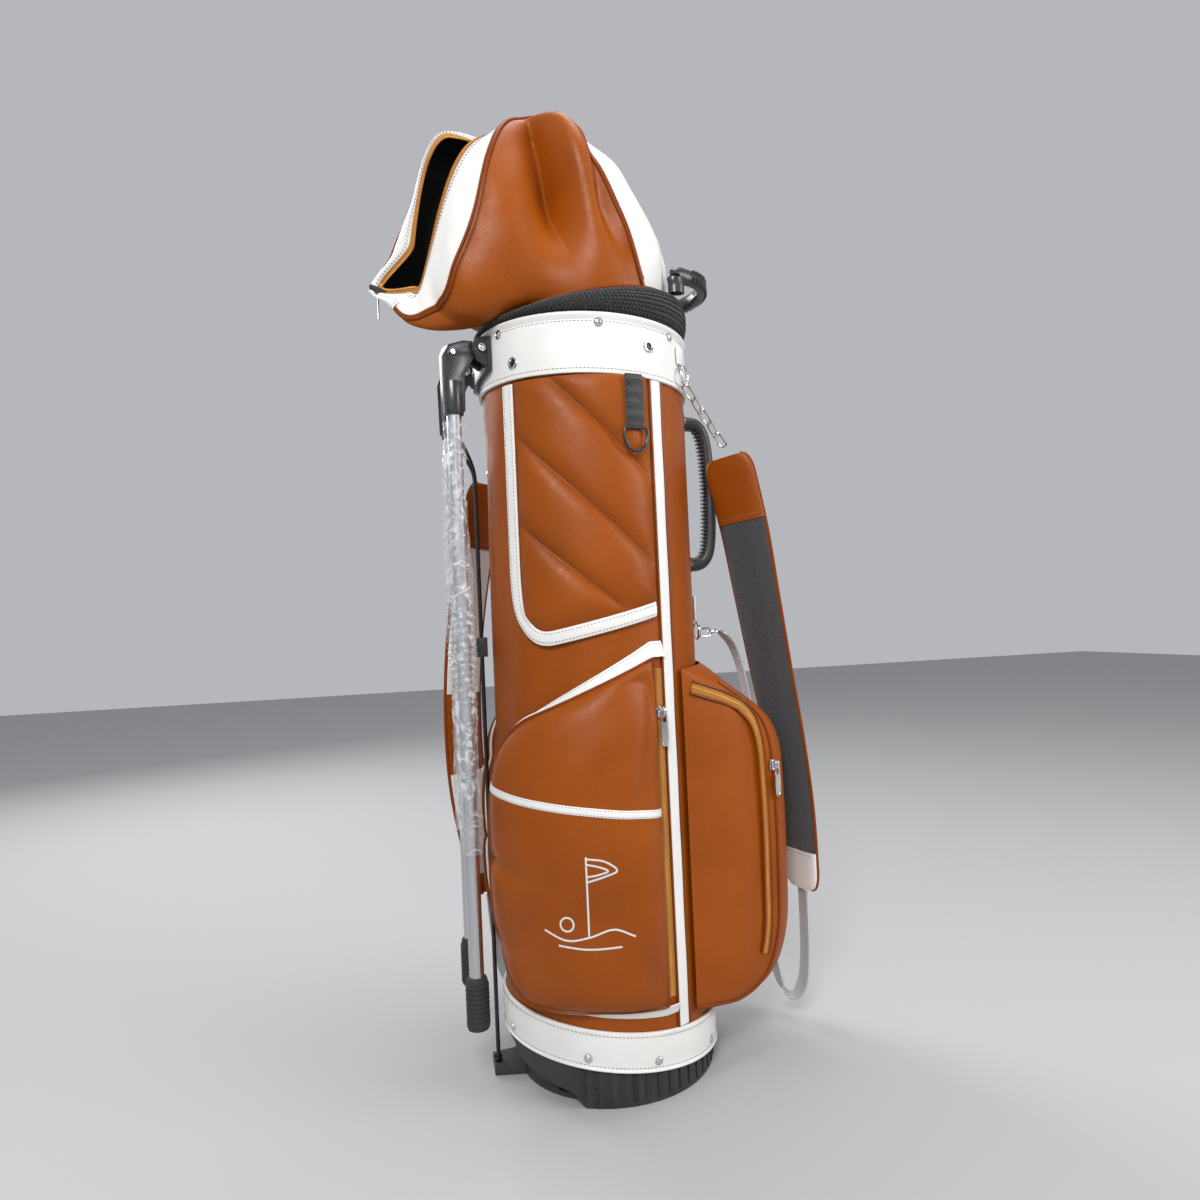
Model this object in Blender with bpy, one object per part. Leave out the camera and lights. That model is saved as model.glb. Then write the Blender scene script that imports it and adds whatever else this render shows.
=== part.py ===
"""Golf stand bag with folding legs, rain hood, ball pocket and two shoulder straps.

+Z is up and the origin is the centre of the flat sole. +X is the spine side, which has the
handles, the ball pocket and the straps. -X is the leg side. Everything is in metres.
"""
from math import acos, atan2, cos, pi, radians, sin, sqrt, tan

import bmesh
import bpy
from mathutils import Matrix, Vector

# Driving dimensions
BODY_R = 0.1195            # outside of the bag's skin
SKIN = 0.0025              # thickness of the skin
GAP = 0.0003               # clearance between pieces that touch
RING_STEPS = 40            # segments round the body

TUBE_BOTTOM = 0.0563
TUBE_TOP = 0.826

COLLAR_R = 0.1238          # outside of the leather collar and of the base band
COLLAR_LOW = 0.766
COLLAR_HIGH = 0.832
COLLAR_SLOPE = -0.035      # height change per metre of x

RIM_IN = 0.103
RIM_OUT = 0.1265
RIM_SLOPE = 0.16

DIVIDER_THICK = 0.009
DIVIDER_SIDE = 0.092       # half length of the divider's two side walls
DIVIDER_LOW = 0.300
DIVIDER_HIGH = 0.822

BASE_R = 0.118
BASE_WALL = 0.010
DECK_LOW = 0.0520
DECK_HIGH = 0.0560
BAND_LOW = 0.036
BAND_HEIGHT = 0.041
BAND_SLOPE = -0.13

FOOT_HINGE_X = -0.058
FOOT_HINGE_Z = 0.012
FOOT_R = 0.1055
FOOT_TONGUE_X = -0.1375
ROD_R = 0.0022
ROD_X = -0.132
ROD_HALF = 0.0055          # half the spacing of the push rod's two wires

LEG_PIVOT = (-0.1280, 0.0460, 0.812)   # the far leg's; the near leg's has y turned round
LEG_SPLAY = 25.0           # degrees that each leg's swing turns away from -X
LEG_LINK = (-0.0335, -0.0088)          # pivot to push rod pin, outward and up
LEG_TUBE_R = 0.0080
LEG_TUBE_TOP = 0.770
LEG_TUBE_LOW = 0.108
LEG_FOOT_LOW = 0.074

STRIPE_ANGLE = 60.0        # polar angle of the flank stripes
STRIPE_HALF = 3.6
STRIPE_THICK = 0.0016
PANEL_FROM = 67.0          # quilted panel, polar angles
PANEL_TO = 146.0
PANEL_LOW = 0.485
PANEL_THICK = 0.009
POCKET_FROM = 66.0         # flank pocket, polar angles
POCKET_TO = 160.0
POCKET_THICK = 0.034
ZIP_ANGLE = 68.0
ZIP_HALF = 2.6             # half width of the zip's tape, in degrees
ZIP_THICK = 0.0024
ZIP_HIGH = 0.405
ZIP_LOW = 0.140

BALL_HALF = 0.094          # ball pocket
BALL_OUT = 0.2140
BALL_LOW = 0.066
BALL_HIGH = 0.452
BALL_ZIP_HIGH = 0.335

STRAP_THICK = 0.010
STRAP_HALF = 0.029
WEB_HALF = 0.012
WEB_THICK = 0.0022
STRAP_FAR_TURN = 128.0     # polar angle that the far strap hangs at
COLLAR_RING_NEAR = -38.0   # polar angles of the rings on the collar
COLLAR_RING_FAR = 124.0
LOWER_TAB_NEAR = (0.0, 0.5000)
LOWER_TAB_FAR = (128.0, 0.0680)


def clear_scene():
    for thing in list(bpy.data.objects):
        bpy.data.objects.remove(thing)


def material(name, colour, roughness, metallic=0.0):
    found = bpy.data.materials.get(name)
    if found:
        return found
    made = bpy.data.materials.new(name)
    made.use_nodes = True
    shader = made.node_tree.nodes["Principled BSDF"]
    shader.inputs["Base Color"].default_value = (*colour, 1.0)
    shader.inputs["Roughness"].default_value = roughness
    shader.inputs["Metallic"].default_value = metallic
    return made


def tan_leather():
    return material("tan_leather", (0.42, 0.13, 0.025), 0.45)


def white_leather():
    return material("white_leather", (0.85, 0.84, 0.80), 0.45)


def black_plastic():
    return material("black_plastic", (0.018, 0.018, 0.020), 0.5)


def black_knit():
    return material("black_knit", (0.012, 0.012, 0.014), 0.9)


def grey_webbing():
    return material("grey_webbing", (0.65, 0.66, 0.68), 0.8)


def chrome():
    return material("chrome", (0.80, 0.80, 0.80), 0.18, 1.0)


def dark_steel():
    return material("dark_steel", (0.03, 0.03, 0.03), 0.4, 0.8)


def silver_tube():
    return material("silver_tube", (0.55, 0.56, 0.58), 0.35, 1.0)


def rubber():
    return material("rubber", (0.02, 0.02, 0.02), 0.85)


def finish(name, bm, surface, smooth_angle=35.0, pivot=None):
    """Turns a bmesh into a named object. pivot puts the origin on a joint's axis."""
    bmesh.ops.recalc_face_normals(bm, faces=bm.faces)
    mesh = bpy.data.meshes.new(name)
    if pivot is not None:
        bmesh.ops.translate(bm, verts=bm.verts, vec=-Vector(pivot))
    bm.to_mesh(mesh)
    bm.free()
    mesh.shade_smooth()
    mesh.set_sharp_from_angle(angle=radians(smooth_angle))
    mesh.materials.append(surface)
    made = bpy.data.objects.new(name, mesh)
    bpy.context.scene.collection.objects.link(made)
    if pivot is not None:
        made.location = pivot
    return made


def polar(radius, degrees_round, z):
    return Vector((radius * cos(radians(degrees_round)), radius * sin(radians(degrees_round)), z))


def spread(low, high, count):
    """count + 1 values from low to high."""
    return [low + (high - low) * i / count for i in range(count + 1)]


def grid_solid(name, outer, inner, surface, closed=False, pivot=None):
    """Closed solid between two grids of points. closed joins the first row to the last."""
    bm = bmesh.new()
    rows, columns = len(outer), len(outer[0])
    out = [[bm.verts.new(p) for p in row] for row in outer]
    back = [[bm.verts.new(p) for p in row] for row in inner]
    spans = rows if closed else rows - 1
    for i in range(spans):
        a, b = i, (i + 1) % rows
        for j in range(columns - 1):
            bm.faces.new((out[a][j], out[b][j], out[b][j + 1], out[a][j + 1]))
            bm.faces.new((back[a][j], back[a][j + 1], back[b][j + 1], back[b][j]))
        bm.faces.new((out[a][0], back[a][0], back[b][0], out[b][0]))
        bm.faces.new((out[a][-1], out[b][-1], back[b][-1], back[a][-1]))
    if not closed:
        for j in range(columns - 1):
            bm.faces.new((out[0][j], out[0][j + 1], back[0][j + 1], back[0][j]))
            bm.faces.new((out[-1][j], back[-1][j], back[-1][j + 1], out[-1][j + 1]))
    return finish(name, bm, surface, pivot=pivot)


def ring_solid(name, profile, surface, steps=RING_STEPS):
    """Ring round the Z axis. profile(x) lists (radius, z) round the cross-section at that cosine."""
    bm = bmesh.new()
    loops = []
    for i in range(steps):
        turn = 2 * pi * i / steps
        loops.append([bm.verts.new((r * cos(turn), r * sin(turn), z)) for r, z in profile(cos(turn))])
    count = len(loops[0])
    for i in range(steps):
        here, there = loops[i], loops[(i + 1) % steps]
        for j in range(count):
            k = (j + 1) % count
            bm.faces.new((here[j], there[j], there[k], here[k]))
    return finish(name, bm, surface)


def swept_solid(name, points, radius, surface, sides=8, closed=False, pivot=None):
    """Round bar along points."""
    bm = bmesh.new()
    points = [Vector(p) for p in points]
    count = len(points)
    side = None
    loops = []
    for i, here in enumerate(points):
        before = points[i - 1] if (i or closed) else here
        after = points[(i + 1) % count] if (i < count - 1 or closed) else here
        along = (after - before).normalized()
        if side is None:
            side = along.orthogonal().normalized()
        side = (side - along * side.dot(along)).normalized()
        third = along.cross(side)
        loops.append([
            bm.verts.new(here + side * radius * cos(2 * pi * k / sides)
                         + third * radius * sin(2 * pi * k / sides))
            for k in range(sides)
        ])
    for i in range(count if closed else count - 1):
        a, b = loops[i], loops[(i + 1) % count]
        for k in range(sides):
            n = (k + 1) % sides
            bm.faces.new((a[k], a[n], b[n], b[k]))
    if not closed:
        bm.faces.new(list(reversed(loops[0])))
        bm.faces.new(loops[-1])
    return finish(name, bm, surface, pivot=pivot)


def prism(outline, low, high, across):
    """bmesh of an outline in two axes, extruded along the third from low to high."""
    def place(u, v, w):
        return {"x": (w, u, v), "y": (u, w, v), "z": (u, v, w)}[across]
    bm = bmesh.new()
    first = [bm.verts.new(place(u, v, low)) for u, v in outline]
    last = [bm.verts.new(place(u, v, high)) for u, v in outline]
    bm.faces.new(list(reversed(first)))
    bm.faces.new(last)
    for i in range(len(outline)):
        k = (i + 1) % len(outline)
        bm.faces.new((first[i], first[k], last[k], last[i]))
    bmesh.ops.recalc_face_normals(bm, faces=bm.faces)
    return bm


def circle(u, v, radius, steps=16, start=0.0, turn=360.0):
    """Points on an arc; a full turn leaves out the last point."""
    last = steps if turn >= 360 else steps + 1
    return [(u + radius * cos(radians(start + turn * i / steps)),
             v + radius * sin(radians(start + turn * i / steps))) for i in range(last)]


def cutter(name, bm):
    made = finish(name, bm, black_plastic())
    made.hide_render = True
    made.display_type = "WIRE"
    return made


def combine(target, helper, operation):
    step = target.modifiers.new(helper.name, "BOOLEAN")
    step.operation = operation
    step.solver = "EXACT"
    step.object = helper


def band_low(x):
    return BAND_LOW + BAND_SLOPE * x


def base_group():
    """Moulded base, hinged foot and its pin, and the leather band round the bottom seam."""
    wall_in = BASE_R - BASE_WALL
    lift = tan(radians(17.0))

    def wall(c):
        x = BASE_R * c
        low = 0.0 if x > FOOT_HINGE_X else min(0.034, 0.012 + (FOOT_HINGE_X - x) * lift)
        return [(BASE_R, low), (BASE_R, DECK_HIGH), (wall_in, DECK_HIGH), (wall_in, low)]

    cup = ring_solid("base_cup", wall, black_plastic(), steps=56)
    deck = cutter("deck_shape", prism(circle(0, 0, wall_in + 0.004, 40), DECK_LOW, DECK_HIGH, "z"))
    combine(cup, deck, "UNION")
    reach = sqrt((wall_in + 0.004) ** 2 - FOOT_HINGE_X ** 2)
    block_half = reach - 0.006
    keel = [(FOOT_HINGE_X + 0.010, 0.0), (0.012, 0.0), (0.012, DECK_LOW + 0.002),
            (FOOT_HINGE_X + 0.010, DECK_LOW + 0.002)]
    slab = [(FOOT_HINGE_X + 0.010, 0.0), (0.100, 0.0), (0.100, 0.005), (FOOT_HINGE_X + 0.010, 0.005)]
    combine(cup, cutter("keel_shape", prism(slab, -0.050, 0.050, "y")), "UNION")
    for i, y in enumerate((-0.030, 0.030)):
        rib = prism(keel, y - 0.004, y + 0.004, "y")
        combine(cup, cutter(f"rib_shape_{i}", rib), "UNION")
    for i, y in enumerate((-block_half + 0.006, block_half - 0.006)):
        ear = [(FOOT_HINGE_X - 0.0045, 0.0075), (FOOT_HINGE_X + 0.014, 0.0075),
               (FOOT_HINGE_X + 0.014, DECK_LOW + 0.002), (FOOT_HINGE_X - 0.0045, DECK_LOW + 0.002)]
        combine(cup, cutter(f"ear_shape_{i}", prism(ear, y - 0.004, y + 0.004, "y")), "UNION")
    bore = prism(circle(FOOT_HINGE_X, FOOT_HINGE_Z, 0.0029, 12), -0.098, 0.098, "y")
    combine(cup, cutter("foot_pin_bore", bore), "DIFFERENCE")

    pin_half = block_half + 0.0015
    finish("foot_hinge_pin", prism(circle(FOOT_HINGE_X, FOOT_HINGE_Z, 0.0025, 12), -pin_half, pin_half, "y"),
           dark_steel())

    pivot = (FOOT_HINGE_X, 0, FOOT_HINGE_Z)
    edge_x = FOOT_HINGE_X + 0.004
    half_turn = degrees_of(acos(edge_x / FOOT_R))
    rim = circle(0, 0, FOOT_R, 20, half_turn, 360 - 2 * half_turn)
    foot = finish("foot_plate", prism(rim, 0.0006, 0.0060, "z"), black_plastic(), pivot=pivot)
    barrel_half = block_half - 0.0115
    barrel = prism(circle(FOOT_HINGE_X, FOOT_HINGE_Z, 0.0075, 16), -barrel_half, barrel_half, "y")
    combine(foot, cutter("foot_barrel", barrel), "UNION")
    tongue = [(FOOT_TONGUE_X, -0.016), (-0.090, -0.024), (-0.090, 0.024), (FOOT_TONGUE_X, 0.016)]
    combine(foot, cutter("foot_tongue", prism(tongue, 0.0008, 0.0110, "z")), "UNION")
    skirt = [(r, z) for r, z in ((FOOT_R - 0.0002, 0.0010), (FOOT_R - 0.0002, 0.018),
                                 (FOOT_R - 0.0042, 0.018), (FOOT_R - 0.0042, 0.0010))]
    arc = circle(0, 0, 1.0, 16, 135, 90)
    bm = bmesh.new()
    loops = [[bm.verts.new((r * u, r * v, z)) for r, z in skirt] for u, v in arc]
    for here, there in zip(loops, loops[1:]):
        for j in range(4):
            bm.faces.new((here[j], there[j], there[(j + 1) % 4], here[(j + 1) % 4]))
    bm.faces.new(list(reversed(loops[0])))
    bm.faces.new(loops[-1])
    combine(foot, cutter("foot_skirt", bm), "UNION")
    pin_bore = prism(circle(FOOT_HINGE_X, FOOT_HINGE_Z, 0.0029, 12), -0.098, 0.098, "y")
    combine(foot, cutter("foot_barrel_bore", pin_bore), "DIFFERENCE")
    groove = [(ROD_X - 0.0042, -0.0086), (ROD_X + 0.0042, -0.0086), (ROD_X + 0.0042, 0.0086),
              (ROD_X - 0.0042, 0.0086)]
    combine(foot, cutter("foot_rod_groove", prism(groove, -0.002, 0.0070, "z")), "DIFFERENCE")
    for i, sign in enumerate((-1, 1)):
        inner, outer = sorted((sign * 0.0014, sign * 0.0086))
        slot = [(ROD_X - 0.0042, inner), (ROD_X + 0.0042, inner), (ROD_X + 0.0042, outer),
                (ROD_X - 0.0042, outer)]
        combine(foot, cutter(f"foot_rod_slot_{i}", prism(slot, 0.0060, 0.020, "z")), "DIFFERENCE")
    notch = prism([(-0.104, -0.028), (-0.124, -0.028), (-0.124, 0.028), (-0.104, 0.028)], 0.010, 0.040, "z")
    combine(cup, cutter("tongue_notch", notch), "DIFFERENCE")

    def band(c):
        x = COLLAR_R * c
        low = band_low(x)
        return [(COLLAR_R, low), (COLLAR_R, low + BAND_HEIGHT), (BODY_R + GAP, low + BAND_HEIGHT),
                (BODY_R + GAP, low)]

    ring_solid("base_band", band, white_leather())


def degrees_of(value):
    return value * 180 / pi


def body_group():
    """The bag's skin, the collar, the knitted rim, the club divider and the flank trim."""
    def skin(c):
        return [(BODY_R, TUBE_BOTTOM), (BODY_R, TUBE_TOP), (BODY_R - SKIN, TUBE_TOP),
                (BODY_R - SKIN, TUBE_BOTTOM)]

    ring_solid("bag_tube", skin, tan_leather())

    def collar(c):
        shift = COLLAR_SLOPE * COLLAR_R * c
        return [(COLLAR_R, COLLAR_LOW + shift), (COLLAR_R, COLLAR_HIGH + shift),
                (BODY_R + GAP, COLLAR_HIGH + shift), (BODY_R + GAP, COLLAR_LOW + shift)]

    ring_solid("top_collar", collar, white_leather())

    def rim(c):
        x = BODY_R * c
        low = COLLAR_HIGH + COLLAR_SLOPE * x + 0.0016
        high = COLLAR_HIGH + 0.026 + RIM_SLOPE * x
        middle, half = (low + high) / 2, (high - low) / 2
        centre, width = (RIM_IN + RIM_OUT) / 2, (RIM_OUT - RIM_IN) / 2
        turns = [2 * pi * k / 10 for k in range(10)]
        return [(centre + width * cos(turn), middle + half * sin(turn)) for turn in turns]

    ring_solid("top_rim", rim, black_knit())

    reach = RIM_IN - 0.0015
    bar = DIVIDER_THICK / 2
    cross = finish("club_divider", prism([(-reach, -bar), (reach, -bar), (reach, bar), (-reach, bar)],
                                         DIVIDER_LOW, DIVIDER_HIGH, "z"), black_knit())
    for i, x in enumerate((-0.036, 0.036)):
        outline = [(x - bar, -DIVIDER_SIDE), (x + bar, -DIVIDER_SIDE), (x + bar, DIVIDER_SIDE),
                   (x - bar, DIVIDER_SIDE)]
        side = prism(outline, DIVIDER_LOW, DIVIDER_HIGH, "z")
        combine(cross, cutter(f"divider_side_{i}", side), "UNION")

    for side, sign in (("near", -1), ("far", 1)):
        stripe_and_panel(side, sign)


def flank_sheet(name, sign, angles, heights, low, high, surface):
    """Curved plate on the flank. low and high give the radii for (share of width, share of height)."""
    outer, inner = [], []
    stand = 1 / cos(radians(angles[1] - angles[0]) / 2)    # keeps the flats between points off the skin
    for i, angle in enumerate(angles):
        u = i / (len(angles) - 1)
        column = heights(u)
        last = len(column) - 1
        outer.append([polar(high(u, j / last), sign * angle, z) for j, z in enumerate(column)])
        inner.append([polar(low(u, j / last) * stand, sign * angle, z) for j, z in enumerate(column)])
    return grid_solid(name, outer, inner, surface)


def stripe_and_panel(side, sign):
    """White stripe down the flank and the padded panel behind it."""
    base = BODY_R + GAP
    low = band_low(0.050) + BAND_HEIGHT + GAP
    high = COLLAR_LOW + COLLAR_SLOPE * 0.075 - GAP
    angles = spread(STRIPE_ANGLE - STRIPE_HALF, STRIPE_ANGLE + STRIPE_HALF, 2)
    flank_sheet(f"flank_stripe_{side}", sign, angles, lambda u: spread(low, high, 1),
                lambda u, v: base, lambda u, v: base + STRIPE_THICK, white_leather())

    def heights(u):
        corner = 0.060 * (max(0.0, u - 0.62) / 0.38) ** 3
        fall = 0.020 * (1 - u)
        return spread(PANEL_LOW + fall + corner, COLLAR_LOW - 0.0030, 6)

    def crown(u, v):
        return base + PANEL_THICK * (0.35 + 0.65 * (sin(pi * u) * sin(pi * v)) ** 0.5)

    flank_sheet(f"quilt_panel_{side}", sign, spread(PANEL_FROM, PANEL_TO, 8), heights,
                lambda u, v: base, crown, tan_leather())


def pocket_top(u):
    """Upper edge of the flank pocket, u from the zip edge to the leg edge."""
    return 0.4700 - 0.040 * u - 0.130 * max(0.0, u - 0.55) ** 1.2 / 0.45 ** 1.2


def pocket_bottom(u):
    return 0.098 + 0.012 * u + 0.050 * max(0.0, u - 0.75) ** 1.5 / 0.25 ** 1.5


def flank_pocket(side, sign):
    """Big pocket on the flank, its zip along the front edge, the slider and its pull."""
    base = BODY_R + GAP

    def crown(u, v):
        edge = (1 - abs(2 * u - 1) ** 4) * (1 - abs(2 * v - 1) ** 5)
        return base + 0.006 + (POCKET_THICK - 0.006) * max(0.0, edge) ** 0.6

    flank_sheet(f"flank_pocket_{side}", sign, spread(POCKET_FROM + 6.0, POCKET_TO, 12),
                lambda u: spread(pocket_bottom(u), pocket_top(u), 10), lambda u, v: base, crown,
                tan_leather())
    flank_sheet(f"flank_zip_{side}", sign, spread(ZIP_ANGLE - ZIP_HALF, ZIP_ANGLE + ZIP_HALF, 2),
                lambda u: spread(ZIP_LOW, ZIP_HIGH + 0.022, 1),
                lambda u, v: base, lambda u, v: base + ZIP_THICK, tan_leather())
    zip_runner(side, polar(base + ZIP_THICK + GAP, sign * ZIP_ANGLE, ZIP_HIGH), sign * ZIP_ANGLE)


def zip_runner(side, foot, turn):
    """Slider body and hanging pull. foot is where the slider meets the zip, turn its outward direction."""
    away = Matrix.Rotation(radians(turn), 4, "Z")

    def placed(bm, offset):
        bmesh.ops.transform(bm, matrix=Matrix.Translation(offset) @ away, verts=bm.verts)
        return bm

    outline = [(-0.0045, -0.006), (0.0045, -0.006), (0.0055, 0.002), (0.003, 0.0065), (-0.003, 0.0065),
               (-0.0055, 0.002)]
    finish(f"zip_slider_{side}", placed(prism(outline, 0.0, 0.0030, "x"), foot), chrome())
    hinge = foot + away @ Vector((0.0064, 0, 0.0030))
    tab = prism([(-0.003, 0.0030), (0.003, 0.0030), (0.0042, -0.030), (0.0025, -0.036), (-0.0025, -0.036),
                 (-0.0042, -0.030)], -0.0009, 0.0009, "x")
    finish(f"zip_pull_{side}", placed(tab, hinge), chrome(), pivot=hinge)


def pocket_skin(side, v):
    """Point on the ball pocket. side runs -1 to 1 across it and v 0 to 1 up it."""
    foot = polar(BODY_R + GAP, 52.0 * side, 0) * 1.035
    z = BALL_LOW + 0.012 * side ** 2 + (BALL_HIGH - BALL_LOW - 0.016 * side ** 2) * v
    close = (1 - abs(2 * v - 1) ** 8) ** 0.5 if 0 < v < 1 else 0.0
    swell = (1 - abs(side) ** 5) ** 0.55 * close
    shoulder = 0.020 * (max(0.0, v - 0.74) / 0.26) ** 1.5
    heel = 0.016 * (max(0.0, 0.25 - v) / 0.25) ** 1.5
    skin = foot + (Vector((BALL_OUT - shoulder - heel, side * 0.072, 0)) - foot) * swell
    return Vector((skin.x, skin.y, z - swell * (0.016 * (1 - v) ** 2 + 0.050 * v ** 6)))


def ball_pocket():
    """Deep pocket on the spine side, its zip, slider and pull."""
    columns, rows = 12, 12
    inner_r = (BODY_R + GAP) / cos(radians(52.0 / columns))
    outer, inner = [], []
    for side in spread(-1, 1, columns):
        low = BALL_LOW + 0.012 * side ** 2
        high = BALL_HIGH - 0.004 * side ** 2
        outer.append([pocket_skin(side, v) for v in spread(0, 1, rows)])
        inner.append([polar(inner_r, 52.0 * side, z) for z in spread(low, high, rows)])
    grid_solid("ball_pocket", outer, inner, tan_leather())
    share = (BALL_ZIP_HIGH - BALL_LOW) / (BALL_HIGH - BALL_LOW)
    here, there = pocket_skin(-0.86, share), pocket_skin(-0.70, share)
    along = (there - here).normalized()
    away = Vector((along.y, -along.x, 0))
    foot = (here + there) / 2 + away * 0.0035
    zip_runner("ball", foot, degrees_of(atan2(away.y, away.x)))


def leg_frame(sign):
    """Pivot point and turn of one leg. In its own frame the leg swings straight towards -X."""
    pivot = Vector((LEG_PIVOT[0], sign * LEG_PIVOT[1], LEG_PIVOT[2]))
    return pivot, Matrix.Rotation(radians(-sign * LEG_SPLAY), 4, "Z")


def leg_group():
    """Moulded bracket on the collar, the two legs with their heads and feet, and the push rod."""
    outer, inner = [], []
    base = COLLAR_R + GAP
    stand = 1 / cos(radians(3.5))
    for angle in spread(154, 206, 8):
        edge = abs(angle - 180) / 26
        low = 0.778 + 0.010 * edge
        high = 0.831 - 0.006 * edge ** 2
        outer.append([polar(base + 0.0052, angle, z) for z in spread(low, high, 3)])
        inner.append([polar(base * stand, angle, z) for z in spread(low, high, 3)])
    bracket = grid_solid("leg_bracket", outer, inner, black_plastic())
    for side, sign in (("near", -1), ("far", 1)):
        pivot, turn = leg_frame(sign)
        move = Matrix.Translation(pivot) @ turn
        for i, y in enumerate((-0.0118, 0.0082)):
            ear = prism([(0.012, -0.021), (0.012, 0.015), (-0.004, 0.0115), (-0.0105, 0.004),
                         (-0.0105, -0.005), (-0.004, -0.014)], y, y + 0.0036, "y")
            bmesh.ops.transform(ear, matrix=move, verts=ear.verts)
            combine(bracket, cutter(f"bracket_ear_{side}_{i}", ear), "UNION")
        hole = prism(circle(0, 0, 0.0034, 12), -0.016, 0.016, "y")
        bmesh.ops.transform(hole, matrix=move, verts=hole.verts)
        combine(bracket, cutter(f"bracket_hole_{side}", hole), "DIFFERENCE")
        pin = prism(circle(0, 0, 0.0030, 12), -0.0135, 0.0135, "y")
        bmesh.ops.transform(pin, matrix=move, verts=pin.verts)
        finish(f"leg_pivot_pin_{side}", pin, dark_steel())
        leg(side, pivot, move)
    trim = prism(circle(0, 0, base * stand, 72), 0.760, 0.850, "z")
    combine(bracket, cutter("bracket_back_trim", trim), "DIFFERENCE")
    push_rod()


def leg(side, pivot, move):
    """One leg: moulded head with the link pin, aluminium tube and rubber foot."""
    link_x, link_z = LEG_LINK
    tube_x = link_x + 0.003

    def shape(name, bm, surface):
        bmesh.ops.transform(bm, matrix=move, verts=bm.verts)
        return finish(name, bm, surface, pivot=pivot)

    low = LEG_TUBE_TOP - LEG_PIVOT[2]
    head = [(0.0060, -0.004), (0.0045, 0.0050), (-0.002, 0.0075), (-0.020, 0.0060), (link_x - 0.004, -0.001),
            (link_x - 0.0085, -0.012), (tube_x - 0.0105, low - 0.030), (tube_x + 0.0105, low - 0.030),
            (tube_x + 0.0115, low + 0.010), (-0.008, -0.012)]
    body = shape(f"leg_head_{side}", prism(head, -0.0075, 0.0075, "y"), black_plastic())
    for name, x, z, radius in (("pivot", 0, 0, 0.0034), ("link", link_x, link_z, 0.0029)):
        bore = prism(circle(x, z, radius, 12), -0.02, 0.02, "y")
        bmesh.ops.transform(bore, matrix=move, verts=bore.verts)
        combine(body, cutter(f"leg_head_{side}_{name}_bore", bore), "DIFFERENCE")
    socket_wall = prism(circle(tube_x, 0, 0.0108, 20), low - 0.034, low + 0.002, "z")
    bmesh.ops.transform(socket_wall, matrix=move, verts=socket_wall.verts)
    combine(body, cutter(f"leg_head_{side}_socket", socket_wall), "UNION")
    bore = prism(circle(tube_x, 0, LEG_TUBE_R + GAP, 20), low - 0.050, low - 0.0097, "z")
    bmesh.ops.transform(bore, matrix=move, verts=bore.verts)
    combine(body, cutter(f"leg_head_{side}_tube_bore", bore), "DIFFERENCE")
    shape(f"leg_link_pin_{side}", prism(circle(link_x, link_z, 0.0025, 12), -0.0095, 0.0095, "y"), chrome())
    top = LEG_TUBE_TOP - 0.010 - LEG_PIVOT[2]
    bottom = LEG_TUBE_LOW - LEG_PIVOT[2]
    shape(f"leg_tube_{side}", prism(circle(tube_x, 0, LEG_TUBE_R, 20), bottom, top, "z"), silver_tube())
    foot_low = LEG_FOOT_LOW - LEG_PIVOT[2]
    foot = prism(circle(tube_x, 0, 0.0125, 20), foot_low, bottom + 0.022, "z")
    made = shape(f"leg_foot_{side}", foot, rubber())
    hollow = prism(circle(tube_x, 0, LEG_TUBE_R + GAP, 20), bottom - GAP, bottom + 0.030, "z")
    bmesh.ops.transform(hollow, matrix=move, verts=hollow.verts)
    combine(made, cutter(f"leg_foot_{side}_bore", hollow), "DIFFERENCE")


def smooth_path(points, count):
    """Points on one smooth curve through the given ones."""
    points = [Vector(p) for p in points]
    ends = [2 * points[0] - points[1]] + points + [2 * points[-1] - points[-2]]
    path = []
    spans = len(points) - 1
    for n in range(count + 1):
        t = n * spans / count
        i = min(int(t), spans - 1)
        u = t - i
        a, b, c, d = ends[i:i + 4]
        path.append(0.5 * ((2 * b) + (c - a) * u + (2 * a - 5 * b + 4 * c - d) * u * u
                           + (3 * b - a - 3 * c + d) * u ** 3))
    return path


def push_rod():
    """One spring-steel wire bent into a U, with its bend in the foot's tongue and its ends by the links."""
    ends = {}
    for sign in (-1, 1):
        pivot, turn = leg_frame(sign)
        link = pivot + turn @ Vector((LEG_LINK[0], 0, LEG_LINK[1] - 0.004))
        inward = turn @ Vector((0, -sign * 0.0135, 0))
        ends[sign] = link + inward
    low = 0.0040
    half = ROD_HALF
    bend = [(ROD_X, y, low + half + z) for y, z in circle(0, 0, half, 6, 180, 180)]
    near = [(ROD_X, -half, z) for z in (0.660, 0.500, 0.250, 0.060)]
    far = [(ROD_X, half, z) for z in (0.060, 0.250, 0.500, 0.660)]

    def fork(sign):
        tip = ends[sign]
        knee = Vector((ROD_X - 0.003, sign * 0.010, 0.690))
        neck = tip + Vector((0.004, -sign * 0.006, -0.055))
        return smooth_path([(ROD_X, sign * half, 0.660), knee, neck, tip], 9)

    path = list(reversed(fork(-1))) + near[1:] + bend + far[:-1] + fork(1)
    swept_solid("push_rod", path, ROD_R, dark_steel(), sides=8)
    clip = prism([(ROD_X - 0.006, -0.012), (ROD_X + 0.006, -0.012), (ROD_X + 0.006, 0.012),
                  (ROD_X - 0.006, 0.012)], 0.470, 0.492, "z")
    made = finish("rod_clip", clip, black_plastic())
    for i, y in enumerate((-half, half)):
        bore = prism(circle(ROD_X, y, ROD_R + GAP, 12), 0.460, 0.500, "z")
        combine(made, cutter(f"rod_clip_bore_{i}", bore), "DIFFERENCE")


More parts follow.
